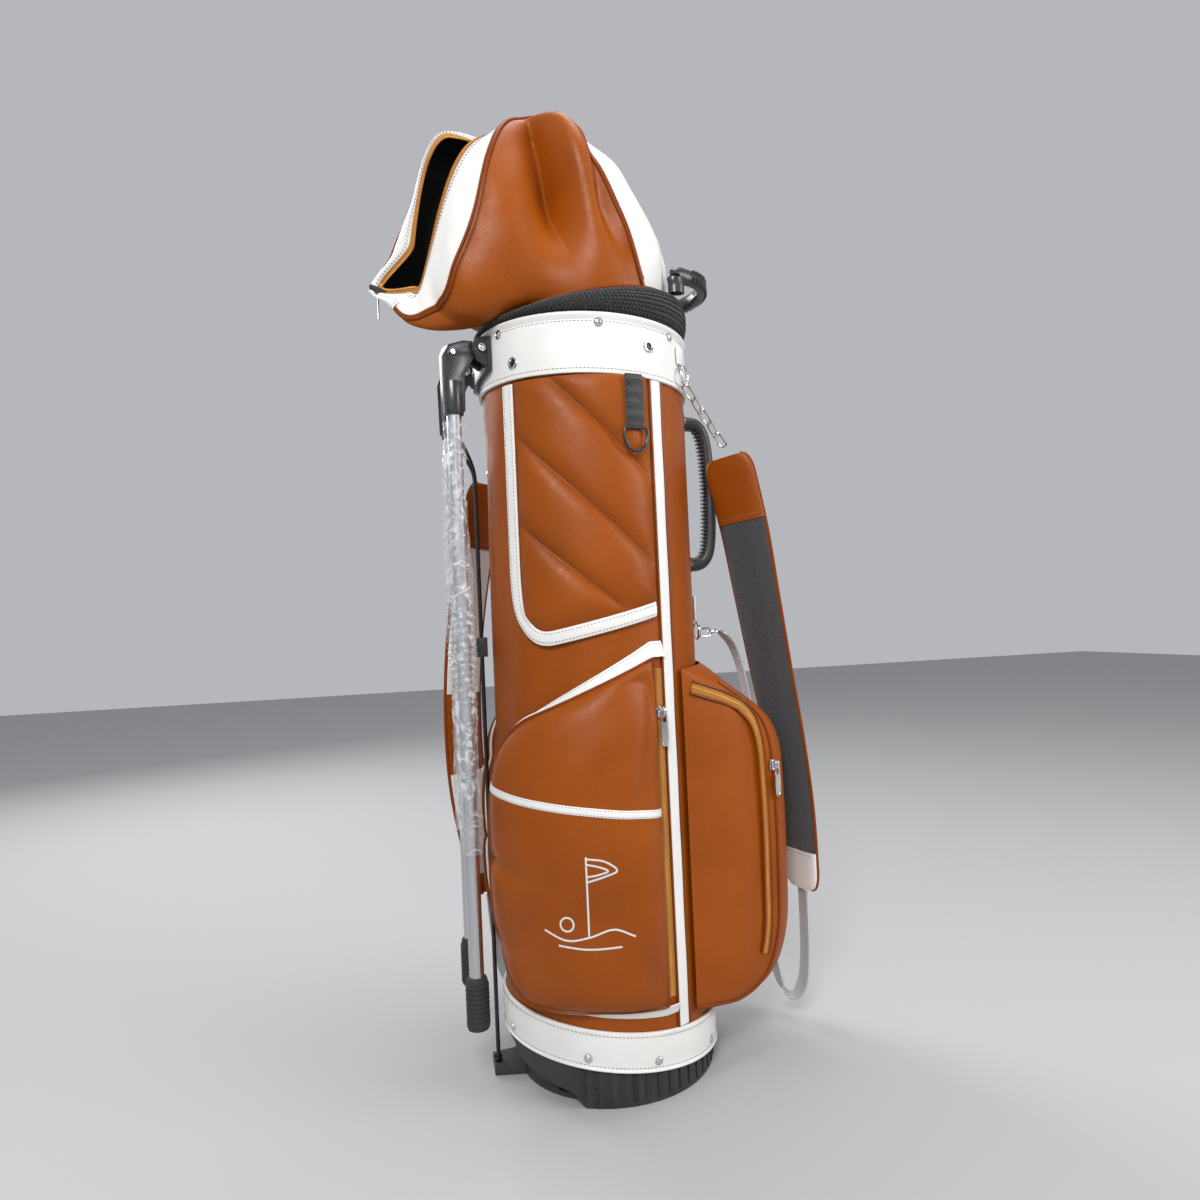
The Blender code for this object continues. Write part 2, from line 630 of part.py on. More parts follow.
def ring_points(centre, wide, tall, turn, steps=14):
    """Closed oval in the upright plane that faces the polar angle turn."""
    across = Vector((-sin(radians(turn)), cos(radians(turn)), 0))
    return [centre + across * wide * cos(2 * pi * k / steps) + Vector((0, 0, tall * sin(2 * pi * k / steps)))
            for k in range(steps)]


def tab_loop(name, angle, z, length, half, surface):
    """Flat tab sewn on the skin, z is its lower end."""
    outer, inner = [], []
    step = degrees_of(half / BODY_R)
    stand = 1 / cos(radians(step / 2))
    for a in spread(angle - step, angle + step, 2):
        outer.append([polar(COLLAR_R + 0.0030, a, h) for h in spread(z, z + length, 2)])
        inner.append([polar((COLLAR_R + GAP) * stand, a, h) for h in spread(z, z + length, 2)])
    return grid_solid(name, outer, inner, surface)


def handle_group():
    """Moulded carrying handle on the spine, lifting handle on the rim, and the towel strap with its ring."""
    grip = smooth_path([(BODY_R + 0.0010, 0, 0.742), (0.1400, 0, 0.738), (0.1500, 0, 0.715),
                        (0.1530, 0, 0.655), (0.1500, 0, 0.595), (0.1400, 0, 0.572),
                        (BODY_R + 0.0010, 0, 0.568)], 20)
    swept_solid("side_handle", grip, 0.0085, black_plastic(), sides=10)

    centre = Vector((0.088, 0, 0.898))
    post = Vector((0, 0, -0.0205))
    arc = [centre + Vector((0.0630 * cos(radians(a)), 0.0640 * sin(radians(a)), 0.0040 * cos(radians(a))))
           for a in spread(-76, 76, 12)]
    swept_solid("top_handle", [arc[0] + post] + arc + [arc[-1] + post], 0.0075, black_plastic(), sides=10)

    top = COLLAR_LOW - 0.004
    outer, inner = [], []
    for angle in spread(-81.5, -72.5, 2):
        heights = spread(top - 0.052, top, 3)
        outer.append([polar(BODY_R + PANEL_THICK + 0.0042, angle, z) for z in heights])
        inner.append([polar(BODY_R + PANEL_THICK + 0.0017, angle, z) for z in heights])
    grid_solid("towel_strap", outer, inner, black_knit())
    hinge = polar(BODY_R + PANEL_THICK + 0.0032, -77, top - 0.0556)
    oval = ring_points(hinge + Vector((0, 0, -0.012)), 0.0135, 0.0120, -77)
    swept_solid("towel_ring", oval, 0.0018, black_plastic(), sides=8, closed=True, pivot=hinge)


def strap_solid(name, stations, half, thick, surface, pivot):
    """Flat strap with rounded shoulders. A station is (point, direction of its width)."""
    outer, inner = [], []
    count = len(stations)
    for k, (here, wide) in enumerate(stations):
        before = stations[max(0, k - 1)][0]
        after = stations[min(count - 1, k + 1)][0]
        along = (after - before).normalized()
        across = (wide - along * wide.dot(along)).normalized()
        out = across.cross(along).normalized()
        reach = half * (0.62 if k in (0, count - 1) and half > 0.02 else 1.0)
        section = [(across * reach * s, out * thick * (0.5 - 0.25 * abs(s))) for s in (-1, -0.4, 0.4, 1)]
        outer.append([here + sideways + lift for sideways, lift in section])
        inner.append([here + sideways - lift for sideways, lift in section])
    return grid_solid(name, outer, inner, surface, pivot=pivot)


def strap_group():
    """Two padded shoulder straps, each hung from a collar ring and ending in webbing and a lower hook."""
    near_width = [Vector((cos(radians(a)), -sin(radians(a)), 0)) for a in spread(42, 76, 8)]
    near_points = smooth_path([(0.165, -0.034, 0.694), (0.183, -0.033, 0.610), (0.197, -0.028, 0.530),
                               (0.214, -0.019, 0.440), (0.232, -0.010, 0.350), (0.245, -0.004, 0.260),
                               (0.251, 0, 0.165)], 8)
    near_web = smooth_path([(0.251, 0, 0.161), (0.250, 0, 0.090), (0.246, 0.004, 0.045),
                            (0.235, 0.014, 0.030), (0.2245, 0.028, 0.046), (0.2190, 0.040, 0.110),
                            (0.2200, 0.046, 0.200), (0.2175, 0.046, 0.300), (0.2070, 0.044, 0.400),
                            (0.1900, 0.034, 0.458), (0.1640, 0.010, 0.486)], 26)
    strap("near", COLLAR_RING_NEAR, (0.162, -0.036, 0.707), near_points, near_width, near_web,
          Vector((0, 1, 0)), (0.1325, 0, 0.4850), LOWER_TAB_NEAR)

    out = Vector((cos(radians(STRAP_FAR_TURN)), sin(radians(STRAP_FAR_TURN)), 0))
    across = Vector((-out.y, out.x, 0))

    def far(distance, drift, z):
        return out * distance + across * drift + Vector((0, 0, z))

    far_points = smooth_path([far(0.163, 0.010, 0.690), far(0.186, 0.016, 0.600), far(0.204, 0.022, 0.500),
                              far(0.211, 0.026, 0.400), far(0.207, 0.026, 0.300), far(0.190, 0.022, 0.215),
                              far(0.176, 0.018, 0.165)], 8)
    far_web = smooth_path([far(0.1755, 0.018, 0.161), far(0.173, 0.015, 0.110), far(0.170, 0.010, 0.070),
                           far(0.164, 0.004, 0.048), far(0.157, 0.000, 0.046)], 10)
    strap("far", COLLAR_RING_FAR, far(0.160, 0.010, 0.703), far_points, [across] * 9, far_web, across,
          far(0.1330, 0, 0.0500), LOWER_TAB_FAR)


def strap(side, ring_angle, hook_top, points, widths, web, web_width, lower_hook, lower):
    """One strap with its collar ring, hooks, pad and webbing, and the tab and ring on the bag."""
    ring_z = 0.786
    hinge = polar(COLLAR_R + 0.0060, ring_angle, ring_z)
    tab_loop(f"strap_tab_{side}", ring_angle, ring_z + 0.004, 0.020, 0.008, white_leather())
    collar_loop = ring_points(hinge + Vector((0, 0, -0.009)), 0.0100, 0.0100, ring_angle)
    swept_solid(f"collar_ring_{side}", collar_loop, 0.0016, chrome(), sides=8, closed=True)
    start = hinge + Vector((0, 0, -0.0225))
    end = Vector(hook_top)
    outward = (end - start).normalized()
    across = outward.cross(Vector((0, 0, 1))).normalized()
    middle, length = (start + end) / 2, (end - start).length / 2
    oval = [middle + outward * (length * cos(2 * pi * k / 16)) + across * (0.0075 * sin(2 * pi * k / 16))
            for k in range(16)]
    swept_solid(f"strap_hook_{side}", oval, 0.0019, chrome(), sides=8, closed=True, pivot=hinge)
    strap_solid(f"strap_pad_{side}", list(zip(points, widths)), STRAP_HALF, STRAP_THICK, white_leather(),
                hinge)
    strap_solid(f"strap_web_{side}", [(p, web_width) for p in web], WEB_HALF, WEB_THICK, grey_webbing(),
                hinge)
    angle, z = lower
    tab_loop(f"lower_tab_{side}", angle, z, 0.030, 0.010, white_leather())
    ring_centre = polar(COLLAR_R + 0.0050, angle, z - 0.012)
    swept_solid(f"lower_ring_{side}", ring_points(ring_centre, 0.0110, 0.0100, angle), 0.0017, chrome(),
                sides=8, closed=True)
    tip = web[-1]
    near_end = Vector(lower_hook)
    run = (tip - near_end).normalized()
    wide = run.cross(Vector((0, 0, 1))).normalized()
    centre, reach = (tip - run * 0.0030 + near_end) / 2, (tip - run * 0.0030 - near_end).length / 2
    loop = [centre + run * (reach * cos(2 * pi * k / 14)) + wide * (0.0065 * sin(2 * pi * k / 14))
            for k in range(14)]
    swept_solid(f"lower_hook_{side}", loop, 0.0016, chrome(), sides=8, closed=True, pivot=hinge)


def hood_point(turn, share, inset):
    """Point on the rain hood: turn goes round it, share from its lower edge to the lip of its mouth."""
    c, s = cos(turn), sin(turn)
    low = Vector(((0.104 - inset) * c, (0.104 - inset) * s, 0.8640 + 0.0175 * c))
    lip_x = -0.055 + (0.138 - inset) * c
    lip = Vector((lip_x, (0.037 - inset) * s, 1.088 - 0.172 * ((c - 0.18) / 1.18) ** 2))
    knee = Vector((-0.058 + ((0.190 if c > 0 else 0.232) - inset) * c, (0.135 - inset) * s,
                   0.985 - 0.105 * max(0.0, -c) - 0.030 * max(0.0, c)))
    return low * (1 - share) ** 2 + knee * 2 * share * (1 - share) + lip * share ** 2


def hood_group():
    """Snap-on rain hood with its long zipped mouth open, and the zip's slider and pull."""
    wall = 0.0028
    turns = [2 * pi * k / 32 for k in range(32)]
    outer = [[hood_point(t, share, 0.0) for share in spread(0, 1, 9)] for t in turns]
    inner = [[hood_point(t, share, wall) for share in spread(0, 1, 9)] for t in turns]
    grid_solid("rain_hood", outer, inner, tan_leather(), closed=True)
    zip_runner("hood", hood_point(pi, 0.72, 0.0) + Vector((-0.0014, 0, 0)), 180.0)


clear_scene()
base_group()
body_group()
flank_pocket("near", -1)
flank_pocket("far", 1)
ball_pocket()
leg_group()
handle_group()
strap_group()
hood_group()
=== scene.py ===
"""Golf stand bag in tan and white leather: how every visible surface of it looks.

+Z is up, the origin is the centre of the sole, +X is the spine side with the handles and the
ball pocket, -X is the leg side. Everything is in metres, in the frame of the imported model.
"""
from math import cos, exp, pi, radians, sin, sqrt

import bmesh
import bpy
from mathutils import Matrix, Vector, noise


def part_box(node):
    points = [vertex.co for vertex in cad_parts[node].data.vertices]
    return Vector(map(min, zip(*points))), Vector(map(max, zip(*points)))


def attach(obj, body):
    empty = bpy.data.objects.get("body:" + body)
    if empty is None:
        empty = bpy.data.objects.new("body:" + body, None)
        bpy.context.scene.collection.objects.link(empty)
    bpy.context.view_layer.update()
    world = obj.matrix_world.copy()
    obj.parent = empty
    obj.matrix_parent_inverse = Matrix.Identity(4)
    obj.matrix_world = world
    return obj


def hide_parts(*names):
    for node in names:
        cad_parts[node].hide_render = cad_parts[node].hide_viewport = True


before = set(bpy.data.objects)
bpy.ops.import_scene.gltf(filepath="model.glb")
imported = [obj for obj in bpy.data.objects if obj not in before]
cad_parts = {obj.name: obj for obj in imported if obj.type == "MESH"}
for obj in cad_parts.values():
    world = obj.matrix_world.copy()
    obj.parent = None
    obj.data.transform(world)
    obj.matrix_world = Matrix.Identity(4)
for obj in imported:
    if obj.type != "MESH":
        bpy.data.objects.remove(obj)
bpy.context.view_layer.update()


# ---- Camera --------------------------------------------------------------------------------------
# A short lens a metre away at half the bag's height, level, and rolled a little to one side.

CAMERA_TURN = radians(-12.0)
CAMERA_DISTANCE = 1.0
CAMERA_HEIGHT = 0.506
CAMERA_ASIDE = 0.010
CAMERA_TILT = radians(1.37)
CAMERA_ROLL = radians(-2.57)

lens = bpy.data.cameras.new("camera")
lens.sensor_width = 36.0
lens.lens = 25.2
lens.clip_start = 0.02
camera = bpy.data.objects.new("camera", lens)
bpy.context.scene.collection.objects.link(camera)
bpy.context.scene.camera = camera

level = Vector((-sin(CAMERA_TURN), cos(CAMERA_TURN), 0))
ahead = level * cos(CAMERA_TILT) + Vector((0, 0, sin(CAMERA_TILT)))
right = Vector((level.y, -level.x, 0))
upward = right.cross(ahead)
rolled_right = right * cos(CAMERA_ROLL) + upward * sin(CAMERA_ROLL)
rolled_up = upward * cos(CAMERA_ROLL) - right * sin(CAMERA_ROLL)
eye = right * CAMERA_ASIDE - level * CAMERA_DISTANCE + Vector((0, 0, CAMERA_HEIGHT))
camera.matrix_world = Matrix.Translation(eye) @ Matrix((rolled_right, rolled_up,
    -ahead)).transposed().to_4x4()


# ---- Floor and light -----------------------------------------------------------------------------
# A flat grey floor under a pale, even surround, and four large soft lamps.

def flat_face(name, corners):
    """One flat piece of the studio."""
    mesh = bpy.data.meshes.new(name)
    mesh.from_pydata([Vector(c) for c in corners], [], [tuple(range(len(corners)))])
    made = bpy.data.objects.new(name, mesh)
    bpy.context.scene.collection.objects.link(made)
    return made


FLOOR_REACH = 6.0
FLOOR_LOW = -0.0004
floor = flat_face("floor", [(-FLOOR_REACH, -FLOOR_REACH, FLOOR_LOW),
    (FLOOR_REACH, -FLOOR_REACH, FLOOR_LOW), (FLOOR_REACH, FLOOR_REACH, FLOOR_LOW),
    (-FLOOR_REACH, FLOOR_REACH, FLOOR_LOW)])
pale = bpy.data.materials.new("pale_floor")
pale.use_nodes = True
pale.node_tree.nodes["Principled BSDF"].inputs["Base Color"].default_value = (0.42, 0.42, 0.42, 1)
pale.node_tree.nodes["Principled BSDF"].inputs["Roughness"].default_value = 0.85
floor.data.materials.append(pale)


def soft_lamp(name, place, aim, size, power):
    """Square lamp at a place, turned to a point."""
    lamp = bpy.data.lights.new(name, "AREA")
    lamp.shape = "SQUARE"
    lamp.size = size
    lamp.energy = power
    made = bpy.data.objects.new(name, lamp)
    made.location = place
    made.rotation_euler = (Vector(aim) - Vector(place)).to_track_quat("-Z", "Y").to_euler()
    bpy.context.scene.collection.objects.link(made)


soft_lamp("key_lamp", (-0.7, -2.0, 1.9), (0, 0, 0.6), 0.8, 46)
soft_lamp("right_lamp", (2.0, -1.2, 1.3), (0, 0, 0.5), 1.1, 26)
soft_lamp("back_lamp", (-1.1, 1.9, 1.7), (0, 0, 0.6), 1.2, 34)
soft_lamp("top_lamp", (0.3, 0.1, 2.6), (0, 0, 0.9), 1.2, 20)
world = bpy.data.worlds.new("studio")
world.use_nodes = True
world.node_tree.nodes["Background"].inputs["Color"].default_value = (0.93, 0.95, 1.0, 1)
world.node_tree.nodes["Background"].inputs["Strength"].default_value = 0.50
bpy.context.scene.world = world
bpy.context.scene.view_settings.view_transform = "Standard"


# ---- Base cup, foot plate and hinge pin ----------------------------------------------------------
# The cup is injection-moulded black plastic with a ring of upright ribs under the leather band,
# and the foot plate is the half of the sole that the push rod lifts, on a steel pin.

BASE_R = 0.118
BASE_RIB_LOW = 0.0035
BAND_LOW = 0.036           # lower edge of the leather band at the middle
BAND_SLOPE = -0.13         # its height change per metre of x
BASE_RIBS = 54
PLASTIC = (0.020, 0.020, 0.022)


def polar(radius, turn, z):
    """Point at a radius from the bag's axis, turn in degrees."""
    return Vector((radius * cos(radians(turn)), radius * sin(radians(turn)), z))


def spread(low, high, count):
    """count + 1 values from low to high."""
    return [low + (high - low) * i / count for i in range(count + 1)]


def smoothstep(low, high, value):
    share = min(1.0, max(0.0, (value - low) / (high - low)))
    return share * share * (3 - 2 * share)


def add_node(tree, kind, values=(), **facts):
    """Node of a kind; values are (socket, value or the output that feeds it)."""
    made = tree.nodes.new(kind)
    for fact, value in facts.items():
        setattr(made, fact, value)
    for socket, value in values:
        if isinstance(value, bpy.types.NodeSocket):
            tree.links.new(value, made.inputs[socket])
        else:
            made.inputs[socket].default_value = value
    return made


def shader_group(name, inputs, outputs):
    """Empty shader group with its sockets; returns the group and its input and output nodes."""
    group = bpy.data.node_groups.new(name, "ShaderNodeTree")
    for socket, kind, value in inputs:
        made = group.interface.new_socket(socket, in_out="INPUT", socket_type=kind)
        made.default_value = value
    for socket, kind in outputs:
        group.interface.new_socket(socket, in_out="OUTPUT", socket_type=kind)
    return group, group.nodes.new("NodeGroupInput"), group.nodes.new("NodeGroupOutput")


def make_moulded_group():
    """Spark-eroded moulded face: tiny pits, and patches where handling has polished it."""
    group, given, result = shader_group(
        "moulded_face", [("Scale", "NodeSocketFloat", 1500.0), ("Rough", "NodeSocketFloat", 0.45)],
        [("Roughness", "NodeSocketFloat"), ("Height", "NodeSocketFloat"), ("Tone", "NodeSocketFloat")])
    place = add_node(group, "ShaderNodeTexCoord").outputs["Object"]
    pits = add_node(group, "ShaderNodeTexNoise", [("Vector", place), ("Scale", given.outputs["Scale"]),
        ("Detail", 2.0)])
    polish = add_node(group, "ShaderNodeTexNoise", [("Vector", place), ("Scale", 38.0), ("Detail", 4.0)])
    patches = add_node(group, "ShaderNodeMapRange", [("Value", polish.outputs["Fac"]),
        ("From Min", 0.35), ("From Max", 0.65), ("To Min", -0.09), ("To Max", 0.10)])
    rough = add_node(group, "ShaderNodeMath", [(0, given.outputs["Rough"]),
        (1, patches.outputs["Result"])], operation="ADD")
    tone = add_node(group, "ShaderNodeMapRange", [("Value", polish.outputs["Fac"]), ("From Min", 0.3),
        ("From Max", 0.7), ("To Min", 0.0), ("To Max", 1.0)])
    group.links.new(rough.outputs[0], result.inputs["Roughness"])
    group.links.new(pits.outputs["Fac"], result.inputs["Height"])
    group.links.new(tone.outputs["Result"], result.inputs["Tone"])
    return group


moulded_face = make_moulded_group()


def empty_material(name, **plain):
    """Material with its plain socket values set; returns it and its node tree and shader."""
    made = bpy.data.materials.new(name)
    made.use_nodes = True
    shader = made.node_tree.nodes["Principled BSDF"]
    for socket, value in plain.items():
        shader.inputs[socket.replace("_", " ")].default_value = value
    return made, made.node_tree, shader


def use_group(tree, group, **values):
    made = tree.nodes.new("ShaderNodeGroup")
    made.node_tree = group
    for socket, value in values.items():
        made.inputs[socket.replace("_", " ")].default_value = value
    return made


def blend_colours(tree, factor, first, second):
    """Colour output between two colours; first and second may be outputs."""
    made = add_node(tree, "ShaderNodeMix", data_type="RGBA")
    tree.links.new(factor, made.inputs["Factor"])
    for socket, colour in (("A", first), ("B", second)):
        target = [s for s in made.inputs if s.name == socket and s.type == "RGBA"][0]
        if isinstance(colour, bpy.types.NodeSocket):
            tree.links.new(colour, target)
        else:
            target.default_value = (*colour, 1)
    return [s for s in made.outputs if s.type == "RGBA"][0]


def bump(tree, shader, height, distance, strength=1.0):
    """Feeds a height through a Bump node to the shader's normal."""
    made = add_node(tree, "ShaderNodeBump", [("Height", height), ("Distance", distance),
        ("Strength", strength)])
    tree.links.new(made.outputs["Normal"], shader.inputs["Normal"])


def moulded_plastic(name, colour, rough, scale=1500.0, pit=0.00012):
    made, tree, shader = empty_material(name, Specular_IOR_Level=0.5)
    face = use_group(tree, moulded_face, Scale=scale, Rough=rough)
    lighter = tuple(c * 1.5 + 0.004 for c in colour)
    tree.links.new(blend_colours(tree, face.outputs["Tone"], colour, lighter), shader.inputs["Base Color"])
    tree.links.new(face.outputs["Roughness"], shader.inputs["Roughness"])
    bump(tree, shader, face.outputs["Height"], pit)
    return made


black_plastic = moulded_plastic("black_moulding", PLASTIC, 0.42)
glossy_plastic = moulded_plastic("glossy_moulding", PLASTIC, 0.22, 700.0, 0.00005)
rubber = moulded_plastic("foot_rubber", (0.022, 0.021, 0.020), 0.80, 900.0, 0.0002)


def metal(name, colour, rough, streaks):
    """Plated or drawn metal with smudges; streaks stretches them along Z."""
    made, tree, shader = empty_material(name, Metallic=1.0)
    place = add_node(tree, "ShaderNodeTexCoord").outputs["Object"]
    drawn = add_node(tree, "ShaderNodeMapping", [("Vector", place), ("Scale", (1.0, 1.0, streaks))])
    smudge = add_node(tree, "ShaderNodeTexNoise", [("Vector", drawn.outputs["Vector"]),
        ("Scale", 160.0), ("Detail", 5.0)])
    spread_out = add_node(tree, "ShaderNodeMapRange", [("Value", smudge.outputs["Fac"]),
        ("From Min", 0.3), ("From Max", 0.7), ("To Min", rough * 0.7), ("To Max", rough * 1.5)])
    dull = tuple(c * 0.82 for c in colour)
    tree.links.new(blend_colours(tree, smudge.outputs["Fac"], colour, dull), shader.inputs["Base Color"])
    tree.links.new(spread_out.outputs["Result"], shader.inputs["Roughness"])
    bump(tree, shader, smudge.outputs["Fac"], 0.00002)
    return made


chrome = metal("chrome_plate", (0.82, 0.82, 0.83), 0.13, 1.0)
dark_steel = metal("blackened_steel", (0.055, 0.055, 0.058), 0.34, 0.2)
brushed_tube = metal("anodised_tube", (0.60, 0.61, 0.63), 0.30, 0.03)


def coat_node(node, finish):
    """Gives a shown CAD node its finish."""
    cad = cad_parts[node]
    cad.data.materials.clear()
    cad.data.materials.append(finish)


def ready(piece, body, slot, *replaced):
    """Fixes a finished piece to its body and hides the CAD nodes that it stands for. The slot argument is
    not used.
    """
    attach(piece, body)
    if replaced:
        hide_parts(*replaced)
    return piece


def place_mesh(name, bm, *finishes):
    """Object from a bmesh, smooth with sharp creases kept."""
    mesh = bpy.data.meshes.new(name)
    bm.to_mesh(mesh)
    bm.free()
    mesh.shade_smooth()
    mesh.set_sharp_from_angle(angle=radians(40))
    for finish in finishes:
        mesh.materials.append(finish)
    made = bpy.data.objects.new(name, mesh)
    bpy.context.scene.collection.objects.link(made)
    return made


def bevelled_copy(name, node, width, finish, body, slot):
    """Stands for a moulded CAD node with the same shape and rounded edges."""
    bm = bmesh.new()
    bm.from_mesh(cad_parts[node].data)
    bmesh.ops.remove_doubles(bm, verts=bm.verts, dist=0.00002)
    bmesh.ops.dissolve_limit(bm, angle_limit=radians(2), verts=bm.verts, edges=bm.edges)
    made = place_mesh(name, bm, finish)
    edge = made.modifiers.new("rounded", "BEVEL")
    edge.width = width
    edge.segments = 2
    edge.limit_method = "ANGLE"
    edge.angle_limit = radians(35)
    edge.use_clamp_overlap = True
    settle(made)
    made.data.shade_smooth()
    made.data.set_sharp_from_angle(angle=radians(40))
    return ready(made, body, slot, node)


def settle(piece):
    """Applies a piece's modifiers, leaving a plain mesh."""
    evaluated = piece.evaluated_get(bpy.context.evaluated_depsgraph_get())
    mesh = bpy.data.meshes.new_from_object(evaluated)
    piece.modifiers.clear()
    piece.data = mesh
    return piece


def row_tree(name, block=False):
    """Geometry Nodes tree: small parts set along every line of a path, each turned to the surface.

    Size is along the line, across it and away from the surface. Slant turns each part in the
    surface. The parts are rounded, or square-edged with block."""
    tree = bpy.data.node_groups.new(name, "GeometryNodeTree")
    tree.interface.new_socket("Geometry", in_out="INPUT", socket_type="NodeSocketGeometry")
    for socket, kind in (("Pitch", "NodeSocketFloat"), ("Size", "NodeSocketVector"),
            ("Slant", "NodeSocketFloat"), ("Finish", "NodeSocketMaterial")):
        tree.interface.new_socket(socket, in_out="INPUT", socket_type=kind)
    tree.interface.new_socket("Geometry", in_out="OUTPUT", socket_type="NodeSocketGeometry")
    given, result = tree.nodes.new("NodeGroupInput"), tree.nodes.new("NodeGroupOutput")
    line = add_node(tree, "GeometryNodeMeshToCurve", [("Mesh", given.outputs["Geometry"])])
    dots = add_node(tree, "GeometryNodeResampleCurve", [("Curve", line.outputs["Curve"]),
        ("Length", given.outputs["Pitch"])], mode="LENGTH")
    away = add_node(tree, "GeometryNodeInputNamedAttribute", [("Name", "away")], data_type="FLOAT_VECTOR")
    along = add_node(tree, "GeometryNodeInputTangent")
    first = add_node(tree, "FunctionNodeAlignRotationToVector", [("Vector", along.outputs["Tangent"])],
        axis="X")
    lifted = add_node(tree, "FunctionNodeAlignRotationToVector",
        [("Rotation", first.outputs["Rotation"]), ("Vector", away.outputs["Attribute"])], axis="Z",
        pivot_axis="X")
    slant = add_node(tree, "ShaderNodeCombineXYZ", [("Z", given.outputs["Slant"])])
    turned = add_node(tree, "FunctionNodeRotateRotation", [("Rotation", lifted.outputs["Rotation"])],
        rotation_space="LOCAL")
    tree.links.new(slant.outputs["Vector"], turned.inputs["Rotate By"])
    if block:
        part = add_node(tree, "GeometryNodeMeshCube", [("Size", (1.0, 1.0, 1.0))])
    else:
        part = add_node(tree, "GeometryNodeMeshUVSphere", [("Segments", 6), ("Rings", 4), ("Radius", 0.5)])
    placed = add_node(tree, "GeometryNodeInstanceOnPoints", [("Points", dots.outputs["Curve"]),
        ("Instance", part.outputs["Mesh"]), ("Rotation", turned.outputs["Rotation"]),
        ("Scale", given.outputs["Size"])])
    real = add_node(tree, "GeometryNodeRealizeInstances", [("Geometry", placed.outputs["Instances"])])
    smooth = add_node(tree, "GeometryNodeSetShadeSmooth", [("Geometry", real.outputs["Geometry"]),
        ("Shade Smooth", not block)])
    painted = add_node(tree, "GeometryNodeSetMaterial", [("Geometry", smooth.outputs["Geometry"]),
        ("Material", given.outputs["Finish"])])
    tree.links.new(painted.outputs["Geometry"], result.inputs["Geometry"])
    return tree


def run_tree(name, tree, lines, **values):
    """Plain mesh that a tree makes from lines, each a list of (point, direction away from the surface)."""
    mesh = bpy.data.meshes.new(name)
    points, edges, normals = [], [], []
    for line in lines:
        start = len(points)
        points += [p for p, away in line]
        normals += [away for p, away in line]
        edges += [(start + i, start + i + 1) for i in range(len(line) - 1)]
    mesh.from_pydata(points, edges, [])
    stored = mesh.attributes.new("away", "FLOAT_VECTOR", "POINT")
    stored.data.foreach_set("vector", [x for n in normals for x in n])
    made = bpy.data.objects.new(name, mesh)
    bpy.context.scene.collection.objects.link(made)
    step = made.modifiers.new("row", "NODES")
    step.node_group = tree
    sockets = {s.name: s.identifier for s in tree.interface.items_tree if s.in_out == "INPUT"}
    for socket, value in values.items():
        step[sockets[socket]] = value
    return settle(made)


sewn_row = row_tree("sewn_row")


def sew(name, lines, pitch, size, thread, slant=0.0):
    """Row of stitches or of coil turns along lines of (point, direction away)."""
    return run_tree(name, sewn_row, lines, Pitch=pitch, Size=size, Slant=slant, Finish=thread)


block_row = row_tree("block_row", block=True)


def rib_row(name, lines, pitch, size, finish):
    """Row of square-edged ribs along lines of (point, direction away)."""
    return run_tree(name, block_row, lines, Pitch=pitch, Size=size, Slant=0.0, Finish=finish)


rib_lines = []
for rib in range(BASE_RIBS):
    turn = 360.0 * (rib + 0.5) / BASE_RIBS
    top = BAND_LOW + BAND_SLOPE * BASE_R * cos(radians(turn)) - 0.0015
    low = BASE_RIB_LOW if cos(radians(turn)) > -0.45 else 0.0
    if low:
        middle = (low + top) / 2
        for half in (-1, 1):
            away = polar(1, turn, 0)
            height = (top - low) / 2 * 0.92
            rib_lines.append([(polar(BASE_R, turn, middle + half * height / 2 - height / 2 * 0.9),
                away), (polar(BASE_R, turn, middle + half * height / 2 + height / 2 * 0.9), away)])
ready(rib_row("base_ribs", rib_lines, 0.0006, (0.0008, 0.0048, 0.0026), black_plastic), "bag",
    "black_plastic")
coat_node("base_cup", black_plastic)
coat_node("foot_plate", black_plastic)
coat_node("foot_hinge_pin", dark_steel)


# ---- Bag skin ------------------------------------------------------------------------------------
# Tan coated leather glued on a stiffener and sewn to a tube, with soft upright folds on the leg
# side where it is pulled between collar and base, and a dark cloth lining inside.

TAN = (0.310, 0.068, 0.0018)
TAN_SHADE = (0.215, 0.042, 0.0010)
WHITE = (0.80, 0.79, 0.765)
WHITE_SHADE = (0.66, 0.65, 0.62)
BODY_R = 0.1195
SKIN_LOW, SKIN_HIGH = 0.0570, 0.822
SKIN_THICK = 0.0022
COLLAR_SLOPE = -0.035
COLLAR_LOW = 0.766


